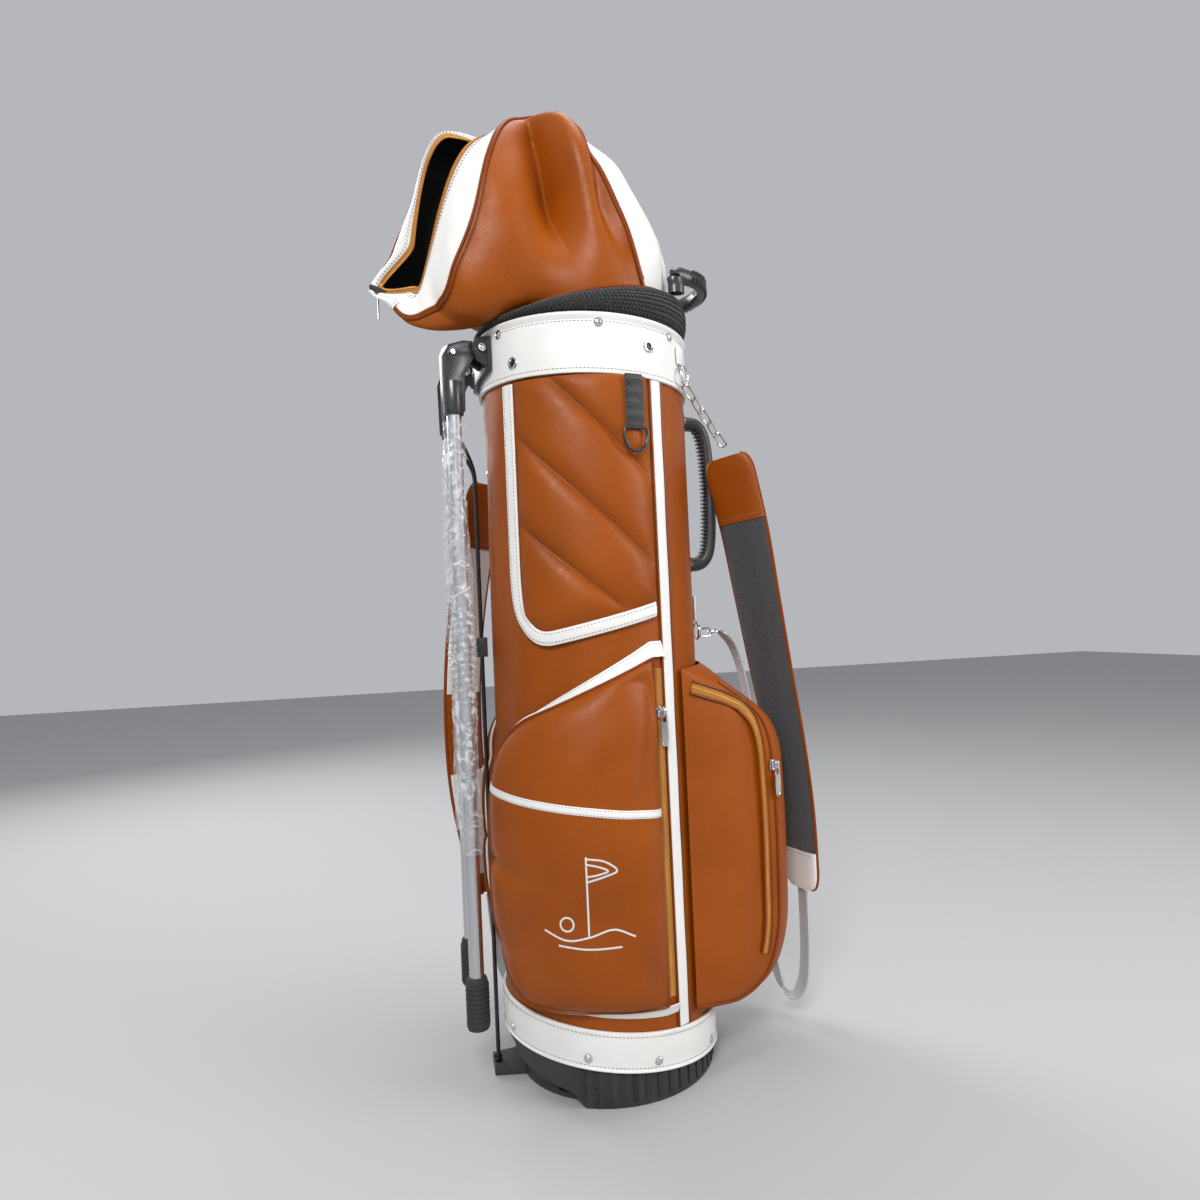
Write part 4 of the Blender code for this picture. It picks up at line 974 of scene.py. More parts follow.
for side, sign in FLANKS:
    def panel_point(turn, share):
        low = panel_low(turn)
        z = low + (PANEL_TOP - low) * share
        return polar(panel_radius(turn, z), sign * turn, z)

    panel = shell(f"quilted_panel_{side}", panel_point, spread(PANEL_FROM, PANEL_TO, 110),
        spread(0, 1, 170), 0.0012, tan_leather)
    ready(panel, "bag", "tan_leather", f"quilt_panel_{side}")

    rows = []
    for turn_a, z_a, turn_b, z_b in CHANNELS:
        for offset in (-1, 1):
            places = []
            for s in spread(0.01, 0.985, 90):
                turn, z = turn_a + (turn_b - turn_a) * s, z_a + (z_b
                    - z_a) * s + offset * CHANNEL_WIDE * 0.75
                if z < PANEL_TOP - 0.001 and turn < PANEL_TO - 4.0:
                    places.append((turn, z))
            rows.append(line_on(lambda turn, z: polar(panel_radius(turn, z) + 0.0001, sign * turn, z),
                places))
    ready(sew(f"quilt_stitches_{side}", rows, 0.0040, (0.0031, 0.0009, 0.0008), amber_thread), "bag",
        "tan_leather")

    def binding_path(inset):
        """Line a distance inside the panel's outer and lower edge, from the collar to the stripe."""
        degree = 1 / (radians(1) * BODY_R)
        places = [(PANEL_TO - inset * degree, z) for z in spread(PANEL_TOP, panel_low(PANEL_TO) + 0.02, 26)]
        for turn in spread(PANEL_TO - inset * degree, PANEL_FROM + 1.0, 60):
            slope = (panel_low(turn + 0.5) - panel_low(turn - 0.5)) / (radians(1) * BODY_R)
            places.append((turn, panel_low(turn) + inset * sqrt(1 + slope * slope)))
        corner = [Vector(place) for place in places]
        smooth = corner[:]
        for step in range(6):
            smooth = [smooth[0]] + [(a * 1.0 + b * 2.0 + c) / 4 for a, b,
                c in zip(smooth, smooth[1:], smooth[2:])] + [smooth[-1]]
        return smooth

    outer_edge, inner_edge = binding_path(0.0), binding_path(BINDING_WIDE)

    def binding_point(index, share):
        here = outer_edge[int(index)].lerp(inner_edge[int(index)], share)
        wave = 0.00035 * sin(index * 2.1) * sin(pi * share) + 0.0003 * noise.noise(Vector((index * 0.7,
            share * 3, 0)))
        lift = 0.0010 + 0.0014 * (1 - abs(2 * share - 1) ** 3.5) + wave
        return polar(max(BODY_R + 0.0036, panel_radius(here.x, here.y)) + lift, sign * here.x, here.y)

    tape = shell(f"panel_binding_{side}", binding_point, range(len(outer_edge)), spread(0, 1, 12),
        0.0016, white_leather)
    ready(tape, "bag", "white_leather")
    seams = []
    for share in (0.20, 0.80):
        line = [binding_point(i, share) for i in range(len(outer_edge))]
        seams.append([(p + Vector((p.x, p.y, 0)).normalized() * 0.0002,
            Vector((p.x, p.y, 0)).normalized()) for p in line])
    ready(sew(f"binding_stitches_{side}", seams, 0.0040, (0.0029, 0.0008, 0.0007), pale_thread), "bag",
        "white_leather")


# ---- Flank pockets -------------------------------------------------------------------------------
# Full tan pocket on each flank, cut in one piece, drawn in along its piped outline. A white strip
# crosses it, white wedges fill in above and below it, and its zip runs beside the stripe.

POCKET_FROM, POCKET_TO = 72.0, 160.0
POCKET_THICK = 0.0345
ZIP_ANGLE = 68.0


def pocket_top(u):
    """Upper edge of the flank pocket, u from the zip edge to the leg edge."""
    return 0.4630 - 0.082 * u - 0.035 * (max(0.0, u - 0.70) / 0.30) ** 1.8


def pocket_bottom(u):
    return 0.098 + 0.012 * u + 0.050 * max(0.0, u - 0.75) ** 1.5 / 0.25 ** 1.5


def fold(u, v, place, width, angle, depth):
    """Soft valley along a line through a place on the pocket, deeper near the place."""
    across = (u - place[0]) * sin(radians(angle)) - (v - place[1]) * cos(radians(angle))
    along = (u - place[0]) * cos(radians(angle)) + (v - place[1]) * sin(radians(angle))
    widen = width * (1 + 2.2 * max(0.0, along))
    return -depth * exp(-(across / widen) ** 2) * exp(-(max(0.0, along) / 0.45)
        ** 2) * smoothstep(-0.06, 0.05, along)


def pocket_radius(u, v):
    boxed = smoothstep(0.35, 0.95, u)
    across = 1 - abs(2 * u - 1) ** 4 * (1 - 0.42 * boxed)
    edge = max(0.0, across * (1 - abs(2 * v - 1) ** 5 * (1 - 0.34 * boxed)))
    swell = 0.005 + (POCKET_THICK - 0.005) * edge ** 0.6
    soft = (fold(u, v, (0.0, 1.0), 0.050, -42, 0.0070) + fold(u, v, (0.0, 0.97), 0.035, -68, 0.0055)
            + fold(u, v, (0.06, 0.99), 0.040, -20, 0.0045) + fold(u, v, (0.99, 0.50), 0.030, 188, 0.0045)
            + fold(u, v, (0.02, 0.03), 0.050, 40, 0.0040) + fold(u, v, (0.96, 0.08), 0.045, 140, 0.0040))
    slack = 0.0022 * noise.noise(Vector((u * 2.3, v * 3.1, 7.7))) + 0.0009 * noise.noise(
        Vector((u * 6.0, v * 8.0, 1.3)))
    return BODY_R + 0.0005 + swell + (soft + slack) * smoothstep(0.0, 0.25, edge)


for side, sign in FLANKS:
    def pocket_point(u, v, proud=0.0):
        low, high = pocket_bottom(u), pocket_top(u)
        z = low + (high - low) * v
        return polar(pocket_radius(u, v) + proud, sign * (POCKET_FROM + (POCKET_TO - POCKET_FROM) * u), z)

    def wall_foot(u, v):
        """The pocket's outline on the skin."""
        here = pocket_point(u, v)
        return Vector((here.x, here.y, 0)).normalized() * (BODY_R + 0.0002) + Vector((0, 0, here.z))

    face = shell(f"flank_pocket_cover_{side}", pocket_point, spread(0, 1, 100), spread(0, 1, 160),
        0.0012, tan_leather)
    ready(face, "bag", "tan_leather", f"flank_pocket_{side}")
    outline = ([(u, 1.0) for u in spread(0, 1, 50)] + [(1.0, v) for v in spread(1, 0, 50)][1:]
               + [(u, 0.0) for u in spread(1, 0, 50)][1:] + [(0.0, v) for v in spread(0, 1, 50)][1:-1])
    gusset = bmesh.new()
    tops = [gusset.verts.new(pocket_point(u, v)) for u, v in outline]
    feet = [gusset.verts.new(wall_foot(u, v)) for u, v in outline]
    for i in range(len(outline)):
        k = (i + 1) % len(outline)
        gusset.faces.new((tops[i], tops[k], feet[k], feet[i]))
    bmesh.ops.recalc_face_normals(gusset, faces=gusset.faces)
    wall = place_mesh(f"flank_pocket_gusset_{side}", gusset, tan_leather)
    thickness = wall.modifiers.new("thickness", "SOLIDIFY")
    thickness.thickness = 0.0012
    ready(settle(wall), "bag", "tan_leather")

    tan_edge = [pocket_point(u, v, 0.0005) for u, v in outline]
    white_edge = [Vector((p.x, p.y, 0)).normalized() * (p.xy.length - 0.0036) + Vector((0, 0, p.z))
        + Vector((0, 0, 0.0021 if v >= 1 else (-0.0021 if v <= 0 else 0))) for p,
        (u, v) in zip(tan_edge, outline)]
    ready(tube(f"flank_pocket_piping_{side}", [tan_edge], 0.0019, tan_binding, 8, closed=True), "bag",
        "tan_leather")
    shown = [p for p, (u, v) in zip(white_edge, outline) if not (u <= 0 and 0 < v < 1)]
    start = next(i for i, (u, v) in enumerate(outline) if (u, v) == (0.0, 1.0))
    ready(tube(f"flank_pocket_white_piping_{side}", [shown[start:]], 0.0017, white_leather, 8), "bag",
          "white_leather")

    def strip_point(u, share):
        """White strip straight across the pocket, lower towards the zip."""
        z = 0.302 + 0.030 * u + (share - 0.5) * 0.0085
        v = (z - pocket_bottom(u)) / (pocket_top(u) - pocket_bottom(u))
        crown = 0.0006 + 0.0007 * (1 - abs(2 * share - 1) ** 4)
        return pocket_point(u, v, crown)

    ready(shell(f"pocket_strip_{side}", strip_point, spread(0.004, 0.990, 90), spread(0, 1, 6), 0.0008,
                white_leather), "bag", "white_leather")
    rows = [line_on(lambda u, share: strip_point(u, share), [(u, share) for u in spread(0.02, 0.98, 90)])
            for share in (0.16, 0.84)]
    ready(sew(f"pocket_strip_stitches_{side}", rows, 0.0036, (0.0026, 0.0007, 0.0007), pale_thread),
        "bag", "white_leather")

    def wedge_point(turn, share, low=None):
        """White wedge above the pocket, wider towards the stripe; below it with low."""
        u = (turn - POCKET_FROM) / (POCKET_TO - POCKET_FROM)
        wide = 0.0035 + 0.0130 * max(0.0, 1 - max(0.0, u) / 0.75)
        edge = pocket_bottom(max(0, u)) - 0.0015 if low else pocket_top(max(0, u)) + 0.0015
        z = edge + (-wide * 0.62 if low else wide) * share
        return polar(BODY_R + 0.0012 + 0.0016 * (1 - share ** 4) + 0.003 * (1 - share) ** 2, sign * turn, z)

    for name, low in (("top", None), ("bottom", True)):
        wedge = shell(f"pocket_wedge_{name}_{side}", lambda turn, share,
            low=low: wedge_point(turn, share, low), spread(64.4, 136.0, 60), spread(0, 1, 8), 0.0012,
            white_leather)
        ready(wedge, "bag", "white_leather")
    rows = [line_on(wedge_point, [(turn, 0.80) for turn in spread(65, 128, 70)])]
    ready(sew(f"pocket_wedge_stitches_{side}", rows, 0.0036, (0.0026, 0.0007, 0.0007), pale_thread),
        "bag", "white_leather")


# ---- Flank zips ----------------------------------------------------------------------------------
# Coil zip beside the stripe on each flank: golden woven tape sewn to the skin and the pocket's
# edge, with fine nylon coils down its middle.

ZIP_R = BODY_R + 0.0003
gold_tape = cloth("gold_tape", (0.52, 0.23, 0.035), (0.33, 0.13, 0.018), 4600.0, 0.75, 0.0002)
gold_coil = moulded_plastic("gold_coil", (0.50, 0.21, 0.030), 0.35, 900.0, 0.00003)


def zip_coils(name, line, body):
    """The coil along a zip's middle: short bars across it, a little proud of the tape."""
    return ready(sew(name, [line], 0.0014, (0.0010, 0.0046, 0.0016), gold_coil), body, "zip_tape")


for side, sign in FLANKS:
    def tape_point(turn, z):
        share = abs(turn - ZIP_ANGLE) / 2.6
        return polar(ZIP_R + 0.0010 + 0.0004 * share - 0.0003 * exp(-(share / 0.25) ** 2), sign * turn, z)

    tape = shell(f"flank_zip_tape_{side}", tape_point, spread(ZIP_ANGLE - 2.6, ZIP_ANGLE + 2.6, 12),
        spread(0.104, 0.452, 80), 0.0008, gold_tape)
    ready(tape, "bag", "zip_tape", f"flank_zip_{side}")
    zip_coils(f"flank_zip_coil_{side}", [(polar(ZIP_R + 0.0012, sign * ZIP_ANGLE, z),
        polar(1, sign * ZIP_ANGLE, 0)) for z in spread(0.106, 0.450, 60)], "bag")
    rows = [[(polar(ZIP_R + 0.0013, sign * (ZIP_ANGLE + edge * 2.1), z), polar(1, sign * ZIP_ANGLE, 0))
             for z in spread(0.106, 0.450, 40)] for edge in (-1, 1)]
    ready(sew(f"flank_zip_stitches_{side}", rows, 0.0034, (0.0024, 0.0007, 0.0006), amber_thread),
        "bag", "zip_tape")


# ---- Embroidered motif ---------------------------------------------------------------------------
# A golf flag, a ball and a sweep of green in white satin stitch on each flank pocket. Each line
# is short threads laid side by side across it.

MOTIF_PLACE = (108.0, 0.222)    # turn and height of the foot of the flag
MOTIF_SIZE = 0.090


def motif_line(points, sign):
    """Line of the motif on the pocket; points are across and up in shares of its size."""
    line = []
    smooth = smooth_line([(x, y, 0) for x, y in points], 14 * (len(points) - 1)) if len(points) > 2 else [
        Vector((*points[0], 0)).lerp(Vector((*points[1], 0)), k / 20) for k in range(21)]
    for p in smooth:
        turn = MOTIF_PLACE[0] - p.x * MOTIF_SIZE / (radians(1) * 0.150)
        z = MOTIF_PLACE[1] + p.y * MOTIF_SIZE
        u = (turn - POCKET_FROM) / (POCKET_TO - POCKET_FROM)
        v = (z - pocket_bottom(u)) / (pocket_top(u) - pocket_bottom(u))
        here = polar(pocket_radius(u, v) + 0.0002, sign * turn, z)
        line.append((here, Vector((here.x, here.y, 0)).normalized()))
    return line


satin_thread = cloth("satin_thread", (0.80, 0.79, 0.76), (0.62, 0.61, 0.58), 6000.0, 0.45, 0.00008)
FLAG = [[(0, -0.36), (0, 0.52)], [(0, 0.50), (0.20, 0.47), (0.34, 0.36), (0.20, 0.30), (0, 0.24)],
        [(0, 0.44), (0.14, 0.41), (0.24, 0.36), (0.12, 0.32), (0, 0.30)],
        [(-0.50, -0.30), (-0.25, -0.40), (0, -0.37), (0.28, -0.30), (0.52, -0.40)],
        [(-0.34, -0.46), (0.0, -0.50), (0.36, -0.50)]]
BALL = [(-0.24 + 0.075 * cos(radians(a)), -0.225 + 0.075 * sin(radians(a))) for a in range(0, 361, 30)]
for side, sign in FLANKS:
    lines = [motif_line(points, sign) for points in FLAG + [BALL]]
    ready(sew(f"flag_motif_{side}", lines, 0.0006, (0.0009, 0.0026, 0.0008), satin_thread, slant=0.25),
        "bag", "white_leather")


# ---- Ball pocket ---------------------------------------------------------------------------------
# Deep tan box pocket on the spine side, drawn over padding. Piping runs round the front edge of
# each side panel, and the zip climbs the near edge and turns along the slanted top.

BALL_OUT, BALL_LOW, BALL_HIGH = 0.2140, 0.066, 0.452
BALL_ANGLE = 52.0


def ball_point(side, v, proud=0.0):
    """Point on the ball pocket. side runs -1 to 1 across it and v 0 to 1 up it."""
    foot = polar(BODY_R + 0.0003, BALL_ANGLE * side, 0) * 1.035
    z = BALL_LOW + 0.012 * side ** 2 + (BALL_HIGH - BALL_LOW - 0.016 * side ** 2) * v
    close = (1 - abs(2 * v - 1) ** 8) ** 0.5 if 0 < v < 1 else 0.0
    swell = (1 - abs(side) ** 5) ** 0.55 * close if abs(side) < 1 else 0.0
    shoulder = 0.020 * (max(0.0, v - 0.74) / 0.26) ** 1.5
    heel = 0.016 * (max(0.0, 0.25 - v) / 0.25) ** 1.5
    fold_one = exp(-((abs(side) - 0.86 - 0.05 * v) / 0.035) ** 2) * (0.4 + 0.6 * v)
    fold_two = exp(-((abs(side) - 0.93 + 0.03 * v) / 0.020) ** 2) * (0.3 + 0.7 * (1 - v))
    slack = noise.noise(Vector((side * 2.2, v * 3.0, 4.4)))
    soft = (-0.0040 * fold_one - 0.0030 * fold_two + 0.0016 * slack) * close
    reach = BALL_OUT - shoulder - heel + 0.0035 * sin(pi * v) ** 2 + soft
    skin_place = foot + (Vector((reach, side * (0.072 + soft * 0.8), 0)) - foot) * swell
    base = Vector((skin_place.x, skin_place.y, z - swell * (0.016 * (1 - v) ** 2 + 0.050 * v ** 6)))
    if proud:
        out = Vector((base.x - 0.10, base.y * 1.6, 0))
        out += Vector((0, 0, 0.16 * (v - 0.5) ** 5 * 32))
        base += out.normalized() * proud
    return base


def ball_sides(count):
    """Values of side, closer together towards the ends where the surface turns fast."""
    return [sin(s * pi / 2) * 0.75 + s * 0.25 for s in spread(-0.9999, 0.9999, count)]


pocket_rows = [0.5 - 0.5 * cos(pi * s) for s in spread(0, 1, 110)]
cover = shell("ball_pocket_cover", lambda side, v: ball_point(side, v), ball_sides(150), pocket_rows,
    0.0012, tan_leather)
ready(cover, "bag", "tan_leather", "ball_pocket")

FRONT_EDGE = 0.80
front_lines = []
for sign in (-1, 1):
    front_lines.append([ball_point(sign * FRONT_EDGE, v, 0.0006) for v in spread(0.012, 0.988, 120)])
bottom_line = [ball_point(side, 0.014, 0.0006) for side in ball_sides(90)]
ready(tube("ball_pocket_piping", front_lines + [bottom_line], 0.0019, tan_binding, 8), "bag", "tan_leather")


def ball_zip_places(edge):
    """The zip's route: from the skin along the slanted top, round the corner, down the near edge."""
    route = [(-0.995, 0.955), (-0.97, 0.950), (-0.93, 0.942), (-0.885, 0.925), (-0.868, 0.880),
        (-0.865, 0.80), (-0.865, 0.60), (-0.865, 0.40), (-0.865, 0.22), (-0.865, 0.14)]
    return [Vector((p.x * edge, p.y, 0)) for p in smooth_line([(a, b, 0) for a, b in route], 110)]


zip_route = ball_zip_places(1.0)


def ball_tape_point(index, share):
    """Tape of the zip, spread to both sides of its route on the pocket."""
    i = int(index)
    here, after = zip_route[i], zip_route[min(i + 1, len(zip_route) - 1)]
    before = zip_route[max(0, i - 1)]
    middle = ball_point(here.x, here.y)
    along = (ball_point(after.x, after.y) - ball_point(before.x, before.y)).normalized()
    out = Vector((middle.x - 0.10, middle.y * 1.6, 0.03 if here.y > 0.92 else 0.0))
    out = (out - along * out.dot(along)).normalized()
    across = along.cross(out).normalized()
    return middle + across * (share - 0.5) * 0.0120 + out * (0.0012 - 0.0006
        * exp(-((share - 0.5) / 0.15) ** 2))


ready(shell("ball_zip_tape", ball_tape_point, range(len(zip_route)), spread(0, 1, 10), 0.0008,
    gold_tape), "bag", "zip_tape")


def ball_zip_line(share, lift):
    line = []
    for i in range(len(zip_route)):
        here = ball_tape_point(i, share)
        side_a, side_b = ball_tape_point(i, share - 0.1), ball_tape_point(i, share + 0.1)
        k = i if i < len(zip_route) - 1 else i - 1
        along = ball_tape_point(k + 1, share) - ball_tape_point(k, share)
        out = along.cross(side_b - side_a).normalized()
        out = out if out.dot(Vector((here.x - 0.10, here.y * 1.6, 0))) > 0 else -out
        line.append((here + out * lift, out))
    return line


zip_coils("ball_zip_coil", ball_zip_line(0.5, 0.0004), "bag")
ready(sew("ball_zip_stitches", [ball_zip_line(share, 0.0002) for share in (0.10, 0.90)], 0.0034,
    (0.0024, 0.0007, 0.0006), amber_thread), "bag", "zip_tape")
tape_edges = [[p for p, out in ball_zip_line(share, 0.0002)] for share in (-0.06, 1.06)]
ready(tube("ball_zip_piping", tape_edges, 0.0015, tan_binding, 8), "bag", "tan_leather")


# ---- Zip sliders and pulls -----------------------------------------------------------------------
# Cast and chromed: a slider body with a bridge on top, and a long pull with a slot and a raised
# rim that swings on the bridge.

def zip_hardware(side, body, pull_body):
    """Slider and pull of one zip, in the places of their CAD nodes."""
    low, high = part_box(f"zip_slider_{side}")
    foot = (low + high) / 2
    turn = SLIDER_TURNS[side]
    away, sideways = polar(1, turn, 0), polar(1, turn + 90, 0)
    upward = Vector((0, 0, 1))

    def at(out, aside, up):
        return foot + away * (out - 0.0015) + sideways * aside + upward * up

    bm = bmesh.new()
    outline = [(-0.0042, -0.0060), (0.0042, -0.0060), (0.0054, -0.0010), (0.0050, 0.0040), (0.0026, 0.0065),
               (-0.0026, 0.0065), (-0.0050, 0.0040), (-0.0054, -0.0010)]
    for bottom, top in ((-0.0002, 0.0008), (0.0022, 0.0031)):
        lower = [bm.verts.new(at(bottom, a, u)) for a, u in outline]
        upper = [bm.verts.new(at(top, a * 0.94, u * 0.94)) for a, u in outline]
        bm.faces.new(list(reversed(lower)))
        bm.faces.new(upper)
        for i in range(len(outline)):
            k = (i + 1) % len(outline)
            bm.faces.new((lower[i], lower[k], upper[k], upper[i]))
    core = [(-0.0016, 0.0010), (0.0016, 0.0010), (0.0022, 0.0060), (-0.0022, 0.0060)]
    lower = [bm.verts.new(at(0.0006, a, u)) for a, u in core]
    upper = [bm.verts.new(at(0.0026, a, u)) for a, u in core]
    bm.faces.new(list(reversed(lower)))
    bm.faces.new(upper)
    for i in range(4):
        bm.faces.new((lower[i], lower[(i + 1) % 4], upper[(i + 1) % 4], upper[i]))
    bmesh.ops.recalc_face_normals(bm, faces=bm.faces)
    made = place_mesh(f"slider_body_{side}", bm, chrome)
    edge = made.modifiers.new("rounded", "BEVEL")
    edge.width = 0.0003
    edge.segments = 2
    ready(settle(made), body, "chrome", f"zip_slider_{side}")
    arch = smooth_line([at(0.0028, 0, -0.0044), at(0.0056, 0, -0.0038), at(0.0084, 0, -0.0004),
        at(0.0086, 0, 0.0030), at(0.0066, 0, 0.0052), at(0.0028, 0, 0.0054)], 20)
    ready(tube(f"slider_bridge_{side}", [arch], 0.0009, chrome, 8, flat=1.5, across=sideways), body,
        "chrome")

    hinge_up = 0.0018
    centre_out = 0.0064
    loop = []
    for a, u in ((0.0026, 0.0010), (0.0034, -0.0050), (0.0041, -0.0240), (0.0036, -0.0330),
            (0.0018, -0.0362), (-0.0018, -0.0362), (-0.0036, -0.0330), (-0.0041, -0.0240),
            (-0.0034, -0.0050), (-0.0026, 0.0010)):
        loop.append(at(centre_out, a, hinge_up + u))
    rim = smooth_line(loop, 70, closed=True)
    ready(tube(f"pull_rim_{side}", [rim], 0.0009, chrome, 8, closed=True), pull_body, "chrome",
          f"zip_pull_{side}")
    plate = bmesh.new()
    outline = [(0.0030, -0.0120), (0.0037, -0.0240), (0.0032, -0.0330), (0.0014, -0.0352),
        (-0.0014, -0.0352), (-0.0032, -0.0330), (-0.0037, -0.0240), (-0.0030, -0.0120)]
    lower = [plate.verts.new(at(centre_out - 0.0004, a, hinge_up + u)) for a, u in outline]
    upper = [plate.verts.new(at(centre_out + 0.0004, a, hinge_up + u)) for a, u in outline]
    plate.faces.new(list(reversed(lower)))
    plate.faces.new(upper)
    for i in range(len(outline)):
        k = (i + 1) % len(outline)
        plate.faces.new((lower[i], lower[k], upper[k], upper[i]))
    bmesh.ops.recalc_face_normals(plate, faces=plate.faces)
    ready(place_mesh(f"pull_plate_{side}", plate, chrome), pull_body, "chrome")


SLIDER_TURNS = {"near": -ZIP_ANGLE, "far": ZIP_ANGLE, "ball": -57.34, "hood": 180.0}
zip_hardware("near", "slider_near", "pull_near")
zip_hardware("far", "slider_far", "pull_far")
zip_hardware("ball", "slider_ball", "pull_ball")
zip_hardware("hood", "hood", "pull_hood")


# ---- Leg bracket and leg heads -------------------------------------------------------------------
# Black moulded bracket riveted to the collar, with two pairs of ears. A pin through each pair
# carries a leg head, and the push rod's end sits on the head's own pin.

bevelled_copy("bracket_moulding", "leg_bracket", 0.0011, glossy_plastic, "bag", "black_plastic")
bracket_studs = []
for turn, z in ((-170, 0.806), (170, 0.806), (-157, 0.812), (157, 0.812), (180, 0.820)):
    bracket_studs.append([(polar(COLLAR_R + 0.0057, turn, z), polar(1, turn, 0))])
ready(rivet_row("bracket_rivets", bracket_studs, 0.0030, 0.0015, chrome), "bag", "chrome")
LEG_PIVOT_X, LEG_PIVOT_Y, LEG_PIVOT_Z = -0.1280, 0.0460, 0.812
LEG_SPLAY = 25.0
LEG_TUBE_X = -0.0305


def leg_place(sign, x, y, z):
    """Point in the frame of one leg, which swings straight towards its own -x."""
    turn = radians(-sign * LEG_SPLAY)
    return Vector((LEG_PIVOT_X + x * cos(turn) - y * sin(turn),
        sign * LEG_PIVOT_Y + x * sin(turn) + y * cos(turn), z))


for side, sign in FLANKS:
    leg_body = f"leg_{side}"
    bevelled_copy(f"leg_head_moulding_{side}", f"leg_head_{side}", 0.0012, glossy_plastic, leg_body,
        "black_plastic")
    coat_node(f"leg_pivot_pin_{side}", chrome)
    coat_node(f"leg_link_pin_{side}", chrome)
    coat_node(f"leg_tube_{side}", brushed_tube)
    out = leg_place(sign, 0, -1, 0) - leg_place(sign, 0, 0, 0)
    screws = []
    for x, z, reach in ((0, LEG_PIVOT_Z, 0.0137), (0, LEG_PIVOT_Z, -0.0137)):
        screws.append([(leg_place(sign, x, -reach, z), out if reach > 0 else -out)])
    ready(rivet_row(f"pivot_screws_{side}", screws, 0.0036, 0.0014, chrome), "bag", "chrome")


# ---- Rubber feet ---------------------------------------------------------------------------------
# Moulded rubber boots pushed over the tube ends, with grip rings and a rounded sole.

for side, sign in FLANKS:
    low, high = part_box(f"leg_foot_{side}")
    profile = [(0.0, low.z), (0.0075, low.z), (0.0112, low.z + 0.0018), (0.0124, low.z + 0.0050)]
    for k in range(9):
        z = low.z + 0.008 + 0.0048 * k
        profile += [(0.0126, z), (0.0126, z + 0.0022), (0.0114, z + 0.0029), (0.0114, z + 0.0041)]
    profile += [(0.0110, high.z - 0.002), (0.0100, high.z), (0.0084, high.z)]
    bm = bmesh.new()
    rings = []
    for r, z in profile:
        rings.append([bm.verts.new(leg_place(sign, LEG_TUBE_X + max(r, 0.0001) * cos(2 * pi * k / 28),
            max(r, 0.0001) * sin(2 * pi * k / 28), z)) for k in range(28)])
    for here, there in zip(rings, rings[1:]):
        for k in range(28):
            n = (k + 1) % 28
            bm.faces.new((here[k], here[n], there[n], there[k]))
    bm.faces.new(list(reversed(rings[0])))
    bm.faces.new(rings[-1])
    bmesh.ops.remove_doubles(bm, verts=bm.verts, dist=0.00005)
    bmesh.ops.recalc_face_normals(bm, faces=bm.faces)
    ready(place_mesh(f"foot_boot_{side}", bm, rubber), f"leg_{side}", "rubber", f"leg_foot_{side}")


# ---- Wrapping sleeves ----------------------------------------------------------------------------
# Thin clear film still wrapped round each leg tube: loose, crinkled, and bunched together in
# small folds half way down.

SLEEVE_TOP, SLEEVE_LOW = 0.728, 0.262


def clear_film_material():
    made, tree, shader = empty_material("clear_film", Roughness=0.10, Coat_Weight=0.6,
        Coat_Roughness=0.04, IOR=1.46)
    place = add_node(tree, "ShaderNodeTexCoord").outputs["Object"]
    crinkle = add_node(tree, "ShaderNodeTexNoise", [("Vector", place), ("Scale", 60.0), ("Detail", 3.0),
        ("Distortion", 2.2)])
    # Painted glints: where the crinkle noise is high, the clear film is painted whiter and more opaque,
    # standing in for light caught on its crinkles.
    painted_glint = add_node(tree, "ShaderNodeMapRange", [("Value", crinkle.outputs["Fac"]),
        ("From Min", 0.52), ("From Max", 0.70), ("To Min", 0.08), ("To Max", 0.52)])
    tree.links.new(painted_glint.outputs["Result"], shader.inputs["Alpha"])
    # The base colour runs from grey to near white on the same crinkles. This is a painted glint, not a
    # colour of the film.
    tree.links.new(blend_colours(tree, crinkle.outputs["Fac"], (0.60, 0.62, 0.65), (0.95, 0.96, 0.97)),
        shader.inputs["Base Color"])
    bump(tree, shader, crinkle.outputs["Fac"], 0.0012)
    return made


clear_film = clear_film_material()


def sleeve_radius(turn, z, seed):
    bunch = exp(-((z - 0.475) / 0.060) ** 2)
    ridge = 0.0013 * sin(z * 820 + 2 * sin(radians(turn)) + seed) * bunch
    big = noise.noise(Vector((cos(radians(turn)) * 1.3, sin(radians(turn)) * 1.3, z * 17 + seed)))
    fine = noise.noise(Vector((cos(radians(turn)) * 3.5, sin(radians(turn)) * 3.5, z * 75 + seed)))
    sharp = 1 - abs(noise.noise(Vector((cos(radians(turn)) * 2.4, sin(radians(turn)) * 2.4,
        z * 42 - seed)))) * 2
    return 0.0108 + 0.0018 * bunch + 0.0022 * big + 0.0010 * fine + 0.0012 * sharp + ridge


for side, sign in FLANKS:
    seed = 3.0 + sign

    def sleeve_point(turn, z):
        r = max(0.0084, sleeve_radius(turn, z, seed))
        lean = 0.0012 * sin(z * 23 + seed)
        return leg_place(sign, LEG_TUBE_X + lean + r * cos(radians(turn)), r * sin(radians(turn)), z)

    film = shell(f"leg_sleeve_{side}", sleeve_point, [360 * k / 56 for k in range(56)],
        spread(SLEEVE_LOW, SLEEVE_TOP, 330), 0.00025, clear_film, closed=True)
    ready(film, f"leg_{side}", "clear_film")


# ---- Push rod and its clip -----------------------------------------------------------------------
# One spring-steel wire bent into a U: the bend sits in the foot's tongue, the ends pass under the
# leg links. A small moulded clip keeps the two runs together.

ROD_X, ROD_HALF, ROD_R = -0.132, 0.0055, 0.0020


def fork_line(sign):
    """Upper part of the wire, from its straight run out to one leg's link."""
    tip = leg_place(sign, -0.0335, -sign * 0.0135, 0.812 - 0.0128)
    knee = Vector((ROD_X - 0.003, sign * 0.010, 0.690))
    neck = tip + Vector((0.004, -sign * 0.006, -0.055))
    return smooth_line([(ROD_X, sign * ROD_HALF, 0.660), knee, neck, tip], 36)


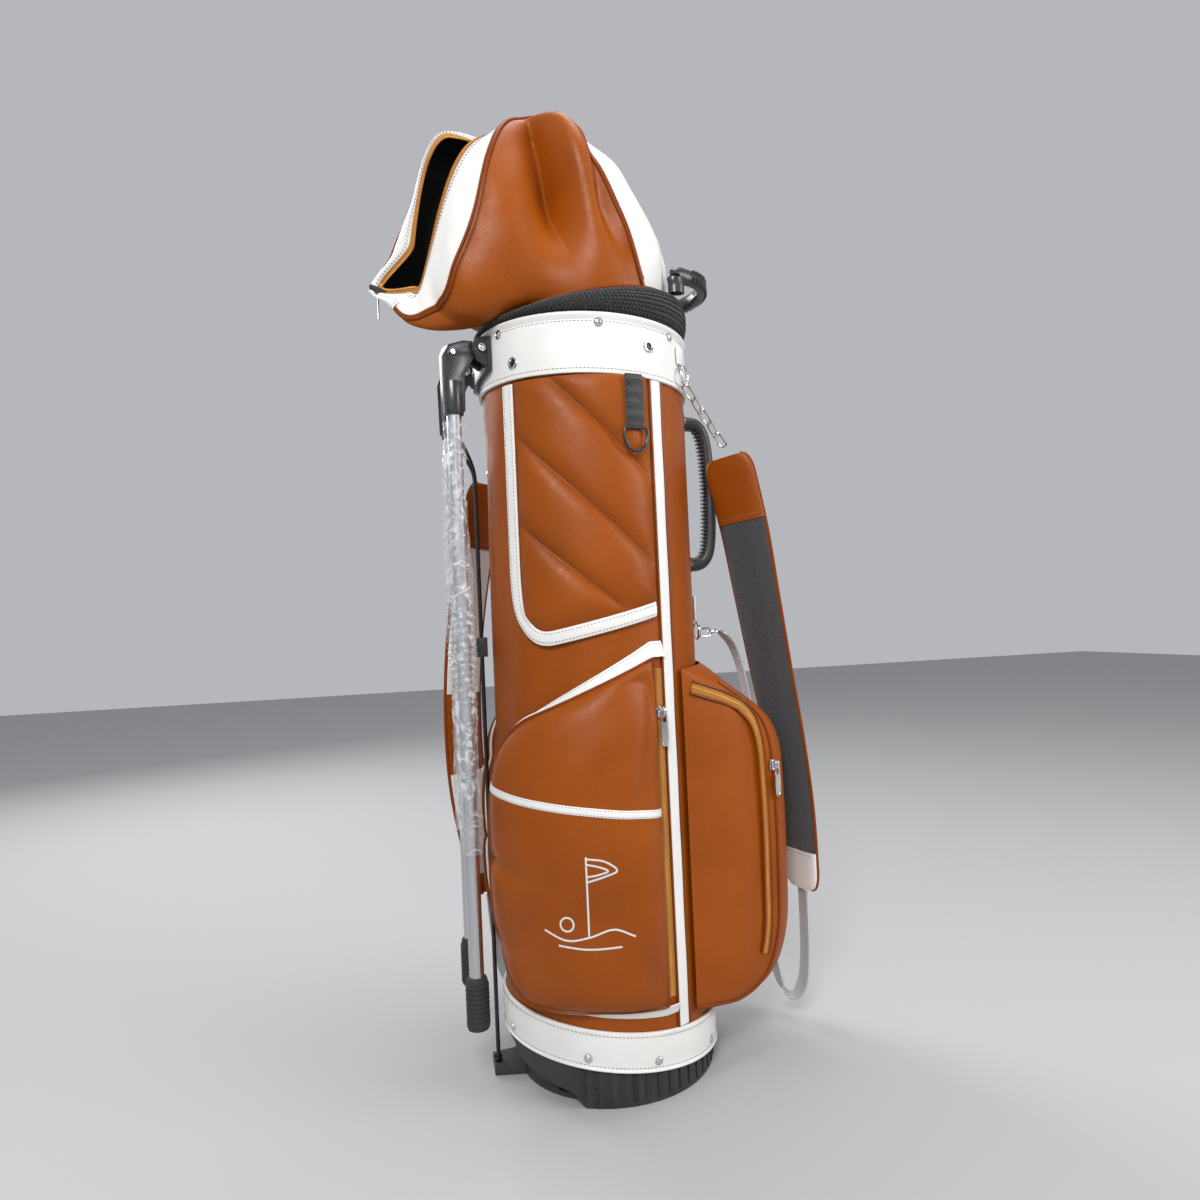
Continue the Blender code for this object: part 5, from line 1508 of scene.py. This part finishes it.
bend = [Vector((ROD_X, ROD_HALF * cos(radians(a)), 0.0040 + ROD_HALF + ROD_HALF * sin(radians(a))))
        for a in spread(180, 360, 16)]
wire = (list(reversed(fork_line(-1))) + [Vector((ROD_X, -ROD_HALF, z)) for z in spread(0.64, 0.03, 20)]
    + bend + [Vector((ROD_X, ROD_HALF, z)) for z in spread(0.03, 0.64, 20)] + fork_line(1))
ready(tube("push_rod_wire", [wire], ROD_R, dark_steel, 12), "push_rod", "dark_steel", "push_rod")
bevelled_copy("rod_clip_moulding", "rod_clip", 0.0008, black_plastic, "push_rod", "black_plastic")


# ---- Side handle and lifting handle --------------------------------------------------------------
# Two handles moulded in soft black plastic: a long grip on the spine with ribs on the side that
# the fingers hold, screwed on at both ends, and a ribbed loop on the rim for lifting.

GRIP_R = 0.0085
grip = smooth_line([(BODY_R + 0.0010, 0, 0.742), (0.1400, 0, 0.738), (0.1500, 0, 0.715),
    (0.1530, 0, 0.655), (0.1500, 0, 0.595), (0.1400, 0, 0.572), (BODY_R + 0.0010, 0, 0.568)], 90)
ready(tube("side_handle_grip", [grip], lambda s: GRIP_R * (1.0 - 0.10 * sin(pi * s) ** 2), black_plastic, 20,
           flat=1.22, across=(0, 1, 0)), "bag", "black_plastic", "side_handle")
grip_line = []
for here in grip[22:69]:
    grip_line.append((here + Vector((-GRIP_R * 0.88, 0, 0)), Vector((-1, 0, 0))))
ready(rib_row("side_handle_ribs", [grip_line], 0.0046, (0.0019, 0.0150, 0.0030), black_plastic), "bag",
    "black_plastic")
pads = []
for z in (0.742, 0.568):
    pads.append([Vector((BODY_R - 0.0010, 0, z)), Vector((BODY_R + 0.0016, 0, z)),
        Vector((BODY_R + 0.0028, 0, z)), Vector((BODY_R + 0.0034, 0, z))])
ready(tube("side_handle_pads", pads, lambda s: 0.0150 - 0.0040 * smoothstep(0.55, 1.0, s),
    black_plastic, 24), "bag", "black_plastic")
pad_screws = [[(Vector((BODY_R + 0.0030, y, z)), Vector((1, 0, 0)))] for z in (0.742, 0.568)
    for y in (-0.0125, 0.0125)]
ready(rivet_row("side_handle_screws", pad_screws, 0.0022, 0.0010, chrome), "bag", "chrome")

LIFT_CENTRE = Vector((0.088, 0, 0.898))
arc = [LIFT_CENTRE + Vector((0.0630 * cos(radians(a)), 0.0640 * sin(radians(a)), 0.0040 * cos(radians(a))))
       for a in spread(-76, 76, 60)]
post = Vector((0, 0, -0.0205))
lift_line = smooth_line([arc[0] + post, arc[0] + post * 0.5, arc[0], *arc[6:-6:6], arc[-1],
    arc[-1] + post * 0.5, arc[-1] + post], 110)
ready(tube("lifting_handle", [lift_line], 0.0066, glossy_plastic, 18, flat=1.45,
    across=lambda p: (0, 0, 1) if p.x > 0.112 else (0.25, 0, 1)), "bag", "black_plastic", "top_handle")
rib_path = []
for here in arc[8:-8]:
    away = Vector((here.x - LIFT_CENTRE.x, here.y - LIFT_CENTRE.y, 0)).normalized()
    rib_path.append((here + away * 0.0058, away))
ready(rib_row("lifting_handle_ribs", [rib_path], 0.0052, (0.0020, 0.0150, 0.0036), glossy_plastic),
    "bag", "black_plastic")


# ---- Towel strap and ring ------------------------------------------------------------------------
# Loop of black hook-and-loop webbing sewn under the collar, holding a plastic D-ring for a towel.

towel_webbing = cloth("towel_webbing", (0.022, 0.022, 0.024), (0.007, 0.007, 0.008), 3000.0, 0.92,
    0.0005, 0.4)
TOWEL_R = BODY_R + 0.0090
TOWEL_TURN = -77.0


def towel_point(turn, z):
    edge = abs(turn - TOWEL_TURN) / 4.5
    loop = smoothstep(0.722, 0.708, z) if z < 0.722 else 0.0
    return polar(TOWEL_R + 0.0042 + 0.0006 * (1 - edge ** 4) - 0.0008 * loop + 0.0003 * sin(z * 500),
        turn, z)


ready(shell("towel_strap_webbing", towel_point, spread(TOWEL_TURN - 4.5, TOWEL_TURN + 4.5, 16),
            spread(0.7095, 0.7640, 50), 0.0030, towel_webbing), "bag", "black_knit", "towel_strap")
box = [(-3.8, 0.7575), (3.8, 0.7575), (3.8, 0.7330), (-3.8, 0.7330), (-3.8, 0.7575), (3.8, 0.7330)]
cross_line = []
for (a, z_a), (b, z_b) in zip(box, box[1:]):
    cross_line += [(TOWEL_TURN + a + (b - a) * s, z_a + (z_b - z_a) * s) for s in spread(0, 0.95, 12)]
dark_thread = thread("dark_thread", (0.030, 0.030, 0.032), (0.015, 0.015, 0.016))
ready(sew("towel_strap_stitches", [line_on(lambda t, z: towel_point(t, z), cross_line)], 0.0030,
    (0.0024, 0.0008, 0.0007), dark_thread), "bag", "black_knit")
ring_hinge = polar(BODY_R + 0.0122, TOWEL_TURN, 0.7064)
side_way, up_way = ring_frame(TOWEL_TURN)
dee = [(-0.0125, 0.0), (-0.0070, 0.0008), (0, 0.0008), (0.0070, 0.0008), (0.0125, 0.0), (0.0140, -0.0070),
       (0.0115, -0.0160), (0.0060, -0.0222), (0.0, -0.0242), (-0.0060, -0.0222), (-0.0115, -0.0160),
       (-0.0140, -0.0070)]
ready(tube("towel_dee_ring", [smooth_line([ring_hinge + side_way * a + up_way * b for a, b in dee], 72,
    closed=True)], 0.0018, glossy_plastic, 12, closed=True), "towel_ring", "black_plastic",
    "towel_ring")


# ---- Rings and leather tabs ----------------------------------------------------------------------
# Chromed wire rings held on the bag by doubled white leather tabs, one pair on the collar and one
# pair lower down, for the straps' hooks.

RING_Z = 0.786
RING_TURNS = {"near": -38.0, "far": 124.0}
LOWER_TABS = {"near": (0.0, 0.5000), "far": (128.0, 0.0680)}
for side, sign in FLANKS:
    turn = RING_TURNS[side]
    across, up = ring_frame(turn)
    hinge = polar(COLLAR_R + 0.0060, turn, RING_Z)
    ready(tube(f"collar_ring_wire_{side}", [circle_points(hinge + up * -0.009, across * 0.0100,
        up * 0.0100, 36)], 0.0016, chrome, 10, closed=True), "bag", "chrome", f"collar_ring_{side}")
    bevelled_copy(f"collar_tab_{side}", f"strap_tab_{side}", 0.0007, white_leather, "bag", "white_leather")
    low_turn, low_z = LOWER_TABS[side]
    across, up = ring_frame(low_turn)
    ready(tube(f"lower_ring_wire_{side}", [circle_points(polar(COLLAR_R + 0.0050, low_turn,
        low_z - 0.012), across * 0.0110, up * 0.0100, 36)], 0.0017, chrome, 10, closed=True), "bag",
        "chrome", f"lower_ring_{side}")
    bevelled_copy(f"lower_tab_leather_{side}", f"lower_tab_{side}", 0.0007, white_leather, "bag",
        "white_leather")
    rows = [[(polar(COLLAR_R + 0.0031, t, z), polar(1, t, 0))
        for z in spread(low_z + 0.003, low_z + 0.027, 16)] for t in (low_turn - 3.6, low_turn + 3.6)]
    ready(sew(f"lower_tab_stitches_{side}", rows, 0.0034, (0.0024, 0.0007, 0.0007), pale_thread), "bag",
        "white_leather")


# ---- Shoulder straps -----------------------------------------------------------------------------
# Foam pads with a white leather face, charcoal spacer mesh under it and tan piping between. A tan
# leather end holds the upper hook, a white cap the adjustable grey webbing, which ends in a hook.

PAD_HALF, PAD_THICK = 0.029, 0.010
WEB_HALF, WEB_THICK = 0.012, 0.0022
STRAP_FAR_TURN = 128.0


def spacer_mesh_material():
    made, tree, shader = empty_material("spacer_mesh", Roughness=0.90, Sheen_Weight=0.25)
    chart = add_node(tree, "ShaderNodeUVMap", uv_map="chart")
    wide = add_node(tree, "ShaderNodeMapping", [("Vector", chart.outputs["UV"]),
        ("Scale", (220.0, 26.0, 1.0))])
    holes = add_node(tree, "ShaderNodeTexVoronoi", [("Vector", wide.outputs["Vector"]), ("Scale", 1.0),
        ("Randomness", 0.35)])
    shade = add_node(tree, "ShaderNodeMapRange", [("Value", holes.outputs["Distance"]),
        ("From Min", 0.10), ("From Max", 0.50)])
    tree.links.new(blend_colours(tree, shade.outputs["Result"], (0.008, 0.008, 0.010),
        (0.060, 0.060, 0.066)), shader.inputs["Base Color"])
    bump(tree, shader, shade.outputs["Result"], 0.0006)
    return made


spacer_mesh = spacer_mesh_material()
grey_webbing = cloth("grey_webbing", (0.70, 0.71, 0.73), (0.44, 0.45, 0.47), 3600.0, 0.75, 0.0003)


def strap_frames(points, widths, count):
    """Stations along a strap: place, direction across it, direction of its outer face, share."""
    line = smooth_line(points, count)
    wide_line = smooth_line(widths, count)
    frames = []
    for k, here in enumerate(line):
        along = (line[min(count, k + 1)] - line[max(0, k - 1)]).normalized()
        across = (wide_line[k] - along * wide_line[k].dot(along)).normalized()
        frames.append((here, across, across.cross(along).normalized(), k / count))
    return frames


def pad_section(frame_at, proud=0.0, steps=40, ribs=True):
    """Closed section of the padded strap: flat-backed, crowned, narrower at both ends."""
    here, across, out, share = frame_at
    end = min(share, 1 - share) / 0.045
    taper = 0.60 + 0.40 * sqrt(1 - (1 - min(1.0, end)) ** 2)
    points = []
    for k in range(steps):
        angle = 2 * pi * k / steps
        c, s = cos(angle), sin(angle)
        wide = (abs(c) ** 0.55) * (1 if c > 0 else -1) * (PAD_HALF * taper + proud)
        crown = (abs(s) ** 0.75) * (1 if s > 0 else -1)
        thick = PAD_THICK / 2 * (0.86 + 0.14 * taper) * crown + (proud if s > 0 else -proud)
        if ribs and s < -0.2:
            thick += 0.00045 * sin(share * 420 + wide * 260)
        points.append(here + across * wide + out * thick)
    return points


def strap_skin(name, frames, proud, finishes, pick, steps=40, ribs=True):
    """Sleeve round the pad along frames; pick(share, angle) gives each face's finish."""
    bm = bmesh.new()
    chart = bm.loops.layers.uv.new("chart")
    loops = [[bm.verts.new(p) for p in pad_section(station, proud, steps, ribs)] for station in frames]
    for i in range(len(loops) - 1):
        for k in range(steps):
            n = (k + 1) % steps
            made = bm.faces.new((loops[i][k], loops[i][n], loops[i + 1][n], loops[i + 1][k]))
            angle = 2 * pi * (k + 0.5) / steps
            made.material_index = pick(frames[i][3], angle)
            for loop, (a, b) in zip(made.loops, ((i, k), (i, k + 1), (i + 1, k + 1), (i + 1, k))):
                loop[chart].uv = (frames[a][3], 1 - cos(2 * pi * b / steps))
    bm.faces.new(list(reversed(loops[0])))
    bm.faces.new(loops[-1])
    bmesh.ops.recalc_face_normals(bm, faces=bm.faces)
    return place_mesh(name, bm, *finishes)


def strap_part(frames, low, high):
    return [station for station in frames if low <= station[3] <= high]


def webbing_strip(name, line, across):
    """Flat webbing with rounded selvedges along a line."""
    def point(index, share):
        i = int(index)
        along = (line[min(len(line) - 1, i + 1)] - line[max(0, i - 1)]).normalized()
        wide = (across - along * across.dot(along)).normalized()
        out = wide.cross(along).normalized()
        edge = abs(2 * share - 1)
        return line[i] + wide * (2 * share - 1) * WEB_HALF + out * (WEB_THICK / 2
            * (1 - 0.45 * edge ** 6) + 0.00025 * sin(share * 40))
    return shell(name, point, range(len(line)), spread(0, 1, 14), WEB_THICK * 0.85, grey_webbing)


def chain(name, start, end, count, half_wide, wire):
    """Chromed links from start to end, each turned a quarter to the next."""
    run = end - start
    outward = run.normalized()
    first = outward.cross(Vector((0, 0, 1))).normalized()
    second = outward.cross(first).normalized()
    pitch = run.length / count
    rings = []
    for k in range(count):
        centre = start + outward * pitch * (k + 0.5)
        sideways = first if k % 2 == 0 else second
        reach = pitch / 2 + wire * 1.1
        oval = []
        for j in range(28):
            angle = 2 * pi * j / 28
            c, s = cos(angle), sin(angle)
            oval.append(centre + outward * reach * (abs(c) ** 0.7) * (1 if c > 0 else -1)
                        + sideways * half_wide * (abs(s) ** 0.8) * (1 if s > 0 else -1))
        rings.append(oval)
    return tube(name, rings, wire, chrome, 8, closed=True)


near_width = [Vector((cos(radians(a)), -sin(radians(a)), 0)) for a in spread(42, 76, 6)]
near_points = [(0.165, -0.034, 0.694), (0.183, -0.033, 0.610), (0.197, -0.028, 0.530),
    (0.214, -0.019, 0.440), (0.232, -0.010, 0.350), (0.245, -0.004, 0.260), (0.251, 0, 0.165)]
near_web = smooth_line([(0.251, 0, 0.161), (0.250, 0, 0.090), (0.246, 0.004, 0.045),
    (0.235, 0.014, 0.030), (0.2245, 0.028, 0.046), (0.2190, 0.040, 0.110), (0.2200, 0.046, 0.200),
    (0.2175, 0.046, 0.300), (0.2070, 0.044, 0.400), (0.1900, 0.034, 0.458), (0.1640, 0.010, 0.486)],
    150)
far_out = polar(1, STRAP_FAR_TURN, 0)
far_across = Vector((-far_out.y, far_out.x, 0))


def far_place(distance, drift, z):
    return far_out * distance + far_across * drift + Vector((0, 0, z))


far_points = [far_place(0.163, 0.010, 0.690), far_place(0.186, 0.016, 0.600),
    far_place(0.204, 0.022, 0.500), far_place(0.211, 0.026, 0.400), far_place(0.207, 0.026, 0.300),
    far_place(0.190, 0.022, 0.215), far_place(0.176, 0.018, 0.165)]
far_web = smooth_line([far_place(0.1755, 0.018, 0.161), far_place(0.173, 0.015, 0.110),
    far_place(0.170, 0.010, 0.070), far_place(0.164, 0.004, 0.048), far_place(0.157, 0.000, 0.046)], 80)
STRAPS = {
    "near": (near_points, near_width, near_web, Vector((0, 1, 0)), Vector((0.162, -0.036, 0.707)),
             Vector((0.1325, 0, 0.4850))),
    "far": (far_points, [far_across] * 7, far_web, far_across, far_place(0.160, 0.010, 0.703),
            far_place(0.1330, 0, 0.0500)),
}
for side, sign in FLANKS:
    points, widths, web, web_across, hook_top, lower_end = STRAPS[side]
    body = f"strap_{side}"
    frames = strap_frames(points, widths, 170)

    def pad_finish(share, angle):
        """White face, mesh on the underside, tan band across the face."""
        if sin(angle) < -0.12:
            return 2
        return 1 if 0.47 < share < 0.64 else 0

    pad = strap_skin(f"strap_cushion_{side}", frames, 0.0, (white_leather, tan_leather, spacer_mesh),
        pad_finish)
    ready(pad, body, "white_leather", f"strap_pad_{side}")
    edges = []
    for edge in (-1, 1):
        edges.append([station[0] + station[1] * edge * (PAD_HALF
            * (0.60 + 0.40 * sqrt(1 - (1 - min(1.0, min(station[3], 1 - station[3]) / 0.045)) ** 2))
            + 0.0004) + station[2] * 0.0006 for station in frames])
    ready(tube(f"strap_piping_{side}", edges, 0.0022, tan_binding, 8), body, "tan_leather")
    ready(strap_skin(f"strap_upper_end_{side}", strap_part(frames, 0.0, 0.155), 0.0012, (tan_leather,),
        lambda share, angle: 0, ribs=False), body, "tan_leather")
    cap = white_leather if side == "near" else tan_leather
    cap_slot = "white_leather" if side == "near" else "tan_leather"
    ready(strap_skin(f"strap_lower_cap_{side}", strap_part(frames, 0.915, 1.0), 0.0012, (cap,),
        lambda share, angle: 0, ribs=False), body, cap_slot)
    rows = []
    for share in (0.145, 0.925):
        station = frames[int(share * 170)]
        for face in (-1, 1):
            rows.append([(station[0] + station[1] * PAD_HALF * 0.86 * s + station[2] * face
                * (PAD_THICK / 2 + 0.0012) * (1 - 0.10 * s ** 4), station[2] * face)
                for s in spread(-1, 1, 14)])
    ready(sew(f"strap_stitches_{side}", rows, 0.0038, (0.0028, 0.0008, 0.0008), pale_thread), body,
        "white_leather")
    ready(webbing_strip(f"strap_webbing_{side}", web, web_across), body, "webbing", f"strap_web_{side}")
    hinge = polar(COLLAR_R + 0.0060, RING_TURNS[side], RING_Z)
    ready(chain(f"strap_chain_{side}", hinge + Vector((0, 0, -0.0205)), hook_top, 5, 0.0052, 0.0014), body,
          "chrome", f"strap_hook_{side}")
    ready(chain(f"lower_chain_{side}", web[-1], lower_end, 2, 0.0050, 0.0013), body, "chrome",
          f"lower_hook_{side}")


# ---- Rain hood -----------------------------------------------------------------------------------
# Snap-on hood of tan leather panels with a white inset along its top, piped twice where they
# meet. A long zip on golden tape splits the inset. It is open here, with its mouth turned to the
# near side at the left, so that the hood slumps in folds.

HOOD_WALL = 0.0018


def mouth_edge(c, s):
    """Edge of the mouth: a long loop from its tip on the left, over the top, down on the right."""
    left, tip = smoothstep(0.1, -0.7, c), smoothstep(-0.975, -1.0, c)
    if c > 0:
        z = 0.920 + 0.145 * abs(s) ** 1.2
    elif s > 0:
        z = 0.895 + 0.170 * smoothstep(0.0, 0.75, s)
    else:
        z = 0.895 - 0.022 * smoothstep(0.0, 0.25, -s) + 0.192 * smoothstep(0.3, 1.0, -s)
    return Vector((-0.045 + 0.150 * c - 0.035 * tip, (0.030 if s > 0 else 0.012) * s - 0.050 * left
        + 0.045 * tip, z))


def hood_belly(c, s):
    """Control point that swells the leather between the lower edge and the mouth."""
    spine = smoothstep(-0.6, 0.1, c)
    x = -0.060 + 0.170 * c - 0.050 * smoothstep(-0.9, -1.0, c)
    if s > 0:
        x += 0.100 * s * smoothstep(-0.8, 0.1, c)
        y = 0.120 * s * spine + 0.035 * smoothstep(0.0, 0.2, s) * (1 - spine)
        z = 0.935 + 0.215 * smoothstep(0.0, 1.0, s) if c > 0 else 0.910 + 0.240 * smoothstep(0.0, 0.85, s)
        return Vector((x, y, z))
    if c > 0:
        z = 0.935 + 0.195 * max(0.0, (-s - 0.5) / 0.5) ** 2
    else:
        z = 0.910 - 0.110 * smoothstep(0.0, 0.4, -s) + 0.330 * max(0.0, (-s - 0.6) / 0.4) ** 2
    return Vector((x, -0.145 * (-s) ** 0.75, z))


def hood_shape(turn, share):
    """Smooth shape of the hood: turn in degrees round it, share from its lower edge to the mouth."""
    c, s = cos(radians(turn)), sin(radians(turn))
    low = Vector((0.104 * c, 0.104 * s, 0.8640 + 0.0175 * c))
    return low * (1 - share) ** 2 + hood_belly(c, s) * 2 * share * (1 - share) + mouth_edge(c,
        s) * share ** 2


HOOD_FOLDS = (
    # turn, drift of the turn upwards, width at the top, width at the foot, depth
    (-97, 0, 4.0, 15.0, -0.066), (-116, 2, 5.0, 8.0, 0.006), (-83, 0, 5.0, 7.0, 0.006),
    (-70, 1, 4.0, 6.0, -0.020), (-60, 0, 5.0, 6.0, 0.004), (-149, 0, 4.5, 6.0, -0.010),
    (-133, 0, 6.0, 8.0, 0.005), (-162, 0, 5.0, 6.0, 0.003), (92, 0, 8.0, 15.0, -0.010),
    (130, 0, 6.0, 9.0, -0.003), (45, 0, 6.0, 9.0, -0.006), (18, 0, 6.0, 9.0, -0.004),
    (-20, 0, 6.0, 9.0, -0.005))


def hood_point(turn, share, proud=0.0):
    base = hood_shape(turn, share)
    out = (base - Vector((-0.045, 0, 0.93))).normalized()
    inward = Vector((out.x, out.y, 0.2 * out.z))
    body = smoothstep(0.0, 0.30, share) * (1 - 0.97 * smoothstep(0.55, 0.90, share))
    depth = 0.0
    for centre, drift, high_wide, low_wide, reach in HOOD_FOLDS:
        gap = (turn - centre - drift * share + 180) % 360 - 180
        width = low_wide + (high_wide - low_wide) * share
        depth += reach * exp(-abs(gap / width) ** 1.5)
    slack = noise.noise(Vector((base.x * 16, base.y * 16, base.z * 12)))
    fine = noise.noise(Vector((base.x * 45, base.y * 45, base.z * 30 + 5)))
    return base + inward * depth * body + out * ((0.0034 * slack + 0.0010 * fine) * body + proud)


def soft_edge(turn):
    """Share at which the white inset begins: high on the flanks, lower beside the mouth's tip."""
    around = abs((turn + 180) % 360 - 180)
    return (0.85 * smoothstep(55, 80, around) - 0.32 * smoothstep(98, 126, around)
            + 0.18 * smoothstep(136, 164, around) - 0.18 * smoothstep(168, 180, around))


PANEL_START, PANEL_END = 56.0, 304.0
tan_part = shell("hood_panels", lambda turn, s: hood_point(turn, soft_edge(turn) * s + 0.004 * s),
    spread(PANEL_START, PANEL_END, 300), spread(0, 1, 60), HOOD_WALL, tan_leather, dark_lining)
ready(tan_part, "hood", "tan_leather", "rain_hood")
white_part = shell("hood_inset", lambda turn, s: hood_point(turn,
    soft_edge(turn) + (1 - soft_edge(turn)) * s, 0.0002), [360.0 * k / 340 for k in range(340)],
    spread(0, 1, 46), HOOD_WALL, white_leather, dark_lining, closed=True)
ready(white_part, "hood", "white_leather")
for name, offset, finish, slot, reach in (("outer", -0.016, tan_binding, "tan_leather", 0.0021),
        ("inner", 0.012, tan_binding, "tan_leather", 0.0019)):
    line = [hood_point(turn, min(0.985, max(0.0, soft_edge(turn) + offset)), 0.0010)
            for turn in spread(PANEL_START + 1, PANEL_END - 1, 330)]
    ready(tube(f"hood_piping_{name}", [line], reach, finish, 8), "hood", slot)
hem = [[hood_point(turn, 0.0, 0.0008) for turn in spread(0, 357, 119)]]
ready(tube("hood_hem", hem, 0.0026, tan_binding, 8, closed=True), "hood", "tan_leather")


def mouth_point(turn, share):
    """Zip tape: from just outside the hood's mouth to its coils inside."""
    lip = hood_point(turn, 1.0, 0.0004)
    facing = hood_point(360 - turn, 1.0) - lip
    inner = lip + facing.normalized() * min(0.0046, 0.42 * facing.length) if facing.length > 0.0005 else lip
    outer = hood_point(turn, 0.978, 0.0010)
    if share < 0.4:
        return outer.lerp(lip, share / 0.4) + Vector((0, -0.0004, 0))
    return lip.lerp(inner, (share - 0.4) / 0.6) + Vector((0, -0.0004, 0))


ready(shell("hood_zip_tape", mouth_point, [360.0 * k / 300 for k in range(300)], spread(0, 1, 10),
    0.0009, gold_tape, closed=True), "hood", "zip_tape")
coil_line = []
for turn in spread(2, 358, 340):
    coil_line.append((mouth_point(turn, 1.0), Vector((-0.3, -0.8, 0.5)).normalized()))
ready(sew("hood_zip_coil", [coil_line], 0.0015, (0.0010, 0.0036, 0.0018), gold_coil), "hood", "zip_tape")


def hood_line(share_at, start, end, count, proud):
    line = []
    for turn in spread(start, end, count):
        share = share_at(turn)
        here = hood_point(turn, share, proud)
        out = (hood_point(turn + 1, share) - hood_point(turn - 1, share)).cross(
            hood_point(turn, min(1, share + 0.01)) - hood_point(turn, share - 0.01)).normalized()
        line.append((here, out))
    return line


inset_rows = [hood_line(lambda turn, s=s: s, 0, 360, 360, 0.0004) for s in (0.952, 0.935)]
ready(sew("hood_stitches", inset_rows, 0.0042, (0.0031, 0.0009, 0.0009), pale_thread), "hood",
    "white_leather")
seam_row = hood_line(lambda turn: max(0.02, soft_edge(turn) - 0.040), PANEL_START + 8, PANEL_END - 8,
    330, 0.0003)
ready(sew("hood_panel_stitches", [seam_row], 0.0044, (0.0030, 0.0009, 0.0008), amber_thread), "hood",
    "tan_leather")


def tab_point(turn, share):
    """Leather tab sewn over the lower end of the zip, to hold while pulling the slider."""
    edge = abs(turn - 190) / 4.5
    return hood_point(turn, 0.66 + 0.20 * share, 0.0020 + 0.0014 * (1 - edge ** 4) + 0.0016
        * sin(pi * share))


ready(shell("hood_zip_tab", tab_point, spread(185.5, 194.5, 12), spread(0, 1, 16), 0.0014,
    white_leather), "hood", "white_leather")
tab_row = [(tab_point(turn, share) + Vector((-0.0002, 0, 0)), Vector((-1, 0, 0.2)).normalized())
    for turn, share in [(186.3, v) for v in spread(0.1, 0.9, 8)]
    + [(t, 0.9) for t in spread(186.3, 193.7, 8)] + [(193.7, v) for v in spread(0.9, 0.1, 8)]]
ready(sew("hood_tab_stitches", [tab_row], 0.0034, (0.0024, 0.0007, 0.0007), pale_thread), "hood",
    "white_leather")
